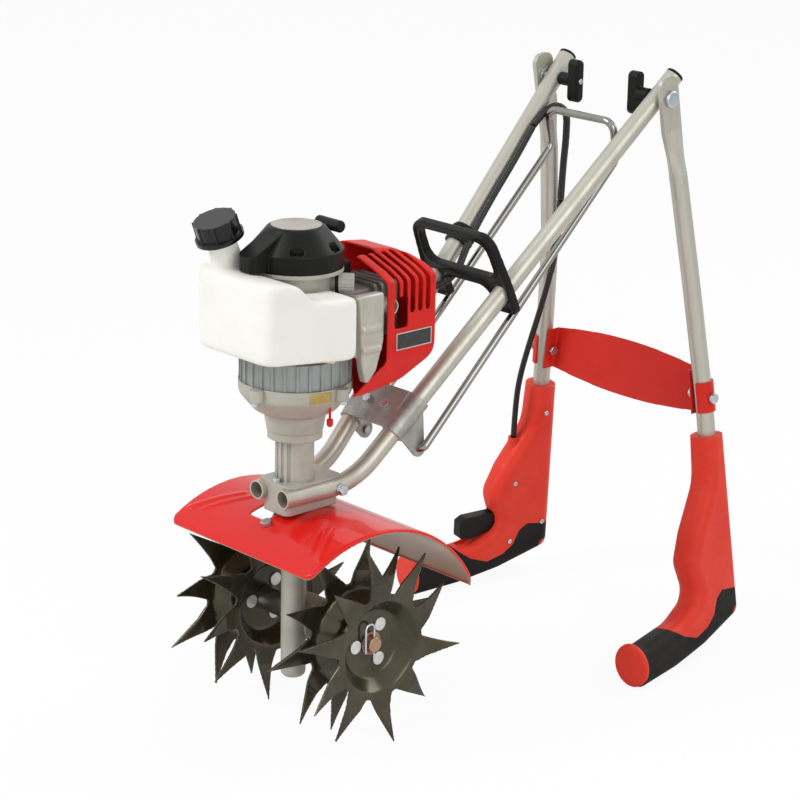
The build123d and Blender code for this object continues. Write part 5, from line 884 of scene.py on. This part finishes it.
def setCoverPlate():
    (front, rear), (low, high) = coverPlate["y"], coverPlate["z"]
    middle = (coverPlate["x"], (front + rear) / 2, (low + high) / 2)
    clearHands()
    bpy.ops.mesh.primitive_plane_add(size=1, location=middle, rotation=(0, math.radians(90), 0))
    piece = bpy.context.object
    bakePlace(piece)
    pickFaces(piece)
    bpy.ops.transform.resize(value=(1, rear - front, high - low), center_override=middle)
    pullOut((coverPlate["sheet"], 0, 0))
    bpy.ops.mesh.inset(thickness=coverPlate["rim"])
    pullOut((-coverPlate["sink"], 0, 0))
    faceOutwards()
    fitPiece(piece, "coverPlate", "frame", "plateRim")
    piece.data.materials.append(finishes["plateDark"])
    field = max(piece.data.polygons, key=lambda face: face.area if face.normal.x > facing else 0)
    field.material_index = 1


bowlPlug = {
    "place": (0.048, -0.2034, 0.3225),
    "radius": 0.0032, "height": 0.006,
    "stem": 0.0013, "stemTop": 0.337,
    "tip": 0.0014, "tipInset": 0.35,   # its height, and the share of the radius that it steps in by
    "sides": 24, "edge": 0.0007,
}


def setBowlPlug():
    clearHands()
    bpy.ops.mesh.primitive_cylinder_add(vertices=bowlPlug["sides"], radius=bowlPlug["radius"],
                                        depth=bowlPlug["height"], location=bowlPlug["place"])
    piece = bpy.context.object
    bakePlace(piece)
    pickFaces(piece, lambda normal: normal.z > facing)
    bpy.ops.mesh.inset(thickness=bowlPlug["radius"] - bowlPlug["stem"])
    pullOut((0, 0, bowlPlug["stemTop"] - bowlPlug["place"][2] - bowlPlug["height"] / 2))
    pickFaces(piece, lambda normal: normal.z < -facing)
    bpy.ops.mesh.inset(thickness=bowlPlug["radius"] * bowlPlug["tipInset"])
    pullOut((0, 0, -bowlPlug["tip"]))
    bpy.ops.object.mode_set(mode="OBJECT")
    roundEdges(piece, bowlPlug["edge"], segments=3, sharper=40)
    fitPiece(piece, "bowlPlug", "frame", "saddleRed")


washer = {"inner": 0.00812, "outer": 0.0122, "thick": 0.0013, "x": 0.0867, "y": -0.18087, "z": 0.102,
          "sides": 48, "edge": 0.0003}


def setWashers():
    grow = washer["outer"] / washer["inner"]
    for side, name in ((1, "axleWasherLeft"), (-1, "axleWasherRight")):
        middle = (side * washer["x"], washer["y"], washer["z"])
        clearHands()
        bpy.ops.mesh.primitive_circle_add(vertices=washer["sides"], radius=washer["inner"], location=middle,
                                          rotation=(0, math.radians(90), 0))
        piece = bpy.context.object
        bakePlace(piece)
        bpy.ops.object.mode_set(mode="EDIT")
        bpy.ops.mesh.select_all(action="SELECT")
        bpy.ops.mesh.extrude_edges_move()
        bpy.ops.transform.resize(value=(1, grow, grow), center_override=middle)
        bpy.ops.object.mode_set(mode="OBJECT")
        finishShape(piece, "SOLIDIFY", thickness=washer["thick"], offset=0)
        roundEdges(piece, washer["edge"])
        fitPiece(piece, name, "tines", "axleTan")


rope = {
    "bar": (-0.017, -0.14887, 0.496),          # middle of the starter grip's bar
    "way": (0, 0.743145, 0.669131),
    "inside": 0.016,                           # how deep in its guide it starts
    "hitch": 0.002,                            # how far under the bar's middle it ends
    "radius": 0.0016,
    "sides": 16,
    "rings": 40,
}


def threadRope():
    # lies in its guide at rest
    bar, way = Vector(rope["bar"]), Vector(rope["way"])
    foot = bar - way * rope["inside"]
    reach = rope["inside"] - rope["hitch"]
    clearHands()
    bpy.ops.mesh.primitive_circle_add(vertices=rope["sides"], radius=rope["radius"], fill_type="NGON",
                                      location=foot, rotation=way.to_track_quat("Z", "Y").to_euler())
    piece = bpy.context.object
    bakePlace(piece)
    pickFaces(piece)
    for _ in range(rope["rings"]):
        pullOut(way * (reach / rope["rings"]))
    faceOutwards()
    dressPiece(piece, "starterRope", "rubber")
    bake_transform(piece)


screw = {
    "radius": 0.0028, "height": 0.0016,
    "seat": 0.0004,        # how deep it sits in what carries it
    "edge": 0.0006,
    "flat": 0.98,          # picks its top without the rounded edge
    "rim": 0.0008, "depth": 0.0008,
    "sides": 28,
}


def makeScrew():
    # one button head, looking up, that the others are copied from
    clearHands()
    bpy.ops.mesh.primitive_cylinder_add(vertices=screw["sides"], radius=screw["radius"],
                                        depth=screw["height"],
                                        location=(0, 0, screw["height"] / 2 - screw["seat"]))
    piece = bpy.context.object
    bakePlace(piece)
    pickFaces(piece, lambda normal: normal.z > facing)
    bpy.ops.mesh.bevel(offset=screw["edge"], segments=3, affect="EDGES")
    pickFaces(piece, lambda normal: normal.z > screw["flat"])
    bpy.ops.mesh.inset(thickness=screw["rim"])
    pullOut((0, 0, -screw["depth"]))
    bpy.ops.object.mode_set(mode="OBJECT")
    return piece


def copyScrew(pattern, name, body, place, out):
    piece = pattern.copy()
    piece.data = pattern.data.copy()
    bpy.context.scene.collection.objects.link(piece)
    turn = out.to_track_quat("Z", "Y")
    piece.matrix_world = Matrix.Translation(place) @ turn.to_matrix().to_4x4()
    bpy.context.view_layer.update()
    fitPiece(piece, name, body, "zinc")


gripScrews = {
    "origin": (-0.117, 0.26313, 0.279),        # right grip's moulding plane
    "across": (-0.149044, -0.987051, -0.059304),
    "up": (0.109014, -0.07601, 0.99113),
    "out": (0.982803, -0.141257, -0.118931),
    "spots": [(0.003, -0.079), (0.041, -0.159), (-0.001, -0.218), (0.044, -0.232)],
    "faces": ["grip_right", "grip_rubbers"],   # what a screw may stand on
    "reach": 0.040,                            # how far out the search for the grip's face starts
}


def setScrews():
    pattern = makeScrew()
    across, up, out = (Vector(gripScrews[key]) for key in ("across", "up", "out"))
    for number, (along, rise) in enumerate(gripScrews["spots"], 1):
        start = Vector(gripScrews["origin"]) + across * along + up * rise + out * gripScrews["reach"]
        casts = [nodes[name].ray_cast(start, -out) for name in gripScrews["faces"]]
        places = [place for hit, place, _, _ in casts if hit]
        place = max(places, key=lambda spot: spot.dot(out))
        copyScrew(pattern, "gripScrew%d" % number, "upper_handles", place, out)
    for word, side in (("left", 1), ("right", -1)):
        low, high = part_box("fold_knob_" + word)
        place = Vector((low[0] if side > 0 else high[0], (low[1] + high[1]) / 2, (low[2] + high[2]) / 2))
        copyScrew(pattern, "knobScrew" + word.capitalize(), "knob_" + word, place, Vector((-side, 0, 0)))
    bpy.data.objects.remove(pattern)


moldTank()
roundShells()
shapeBrace()
pressTines()
setStarterPlate()
setBellPlate()
setCoverPlate()
setBowlPlug()
setWashers()
threadRope()
setScrews()
clearHands()
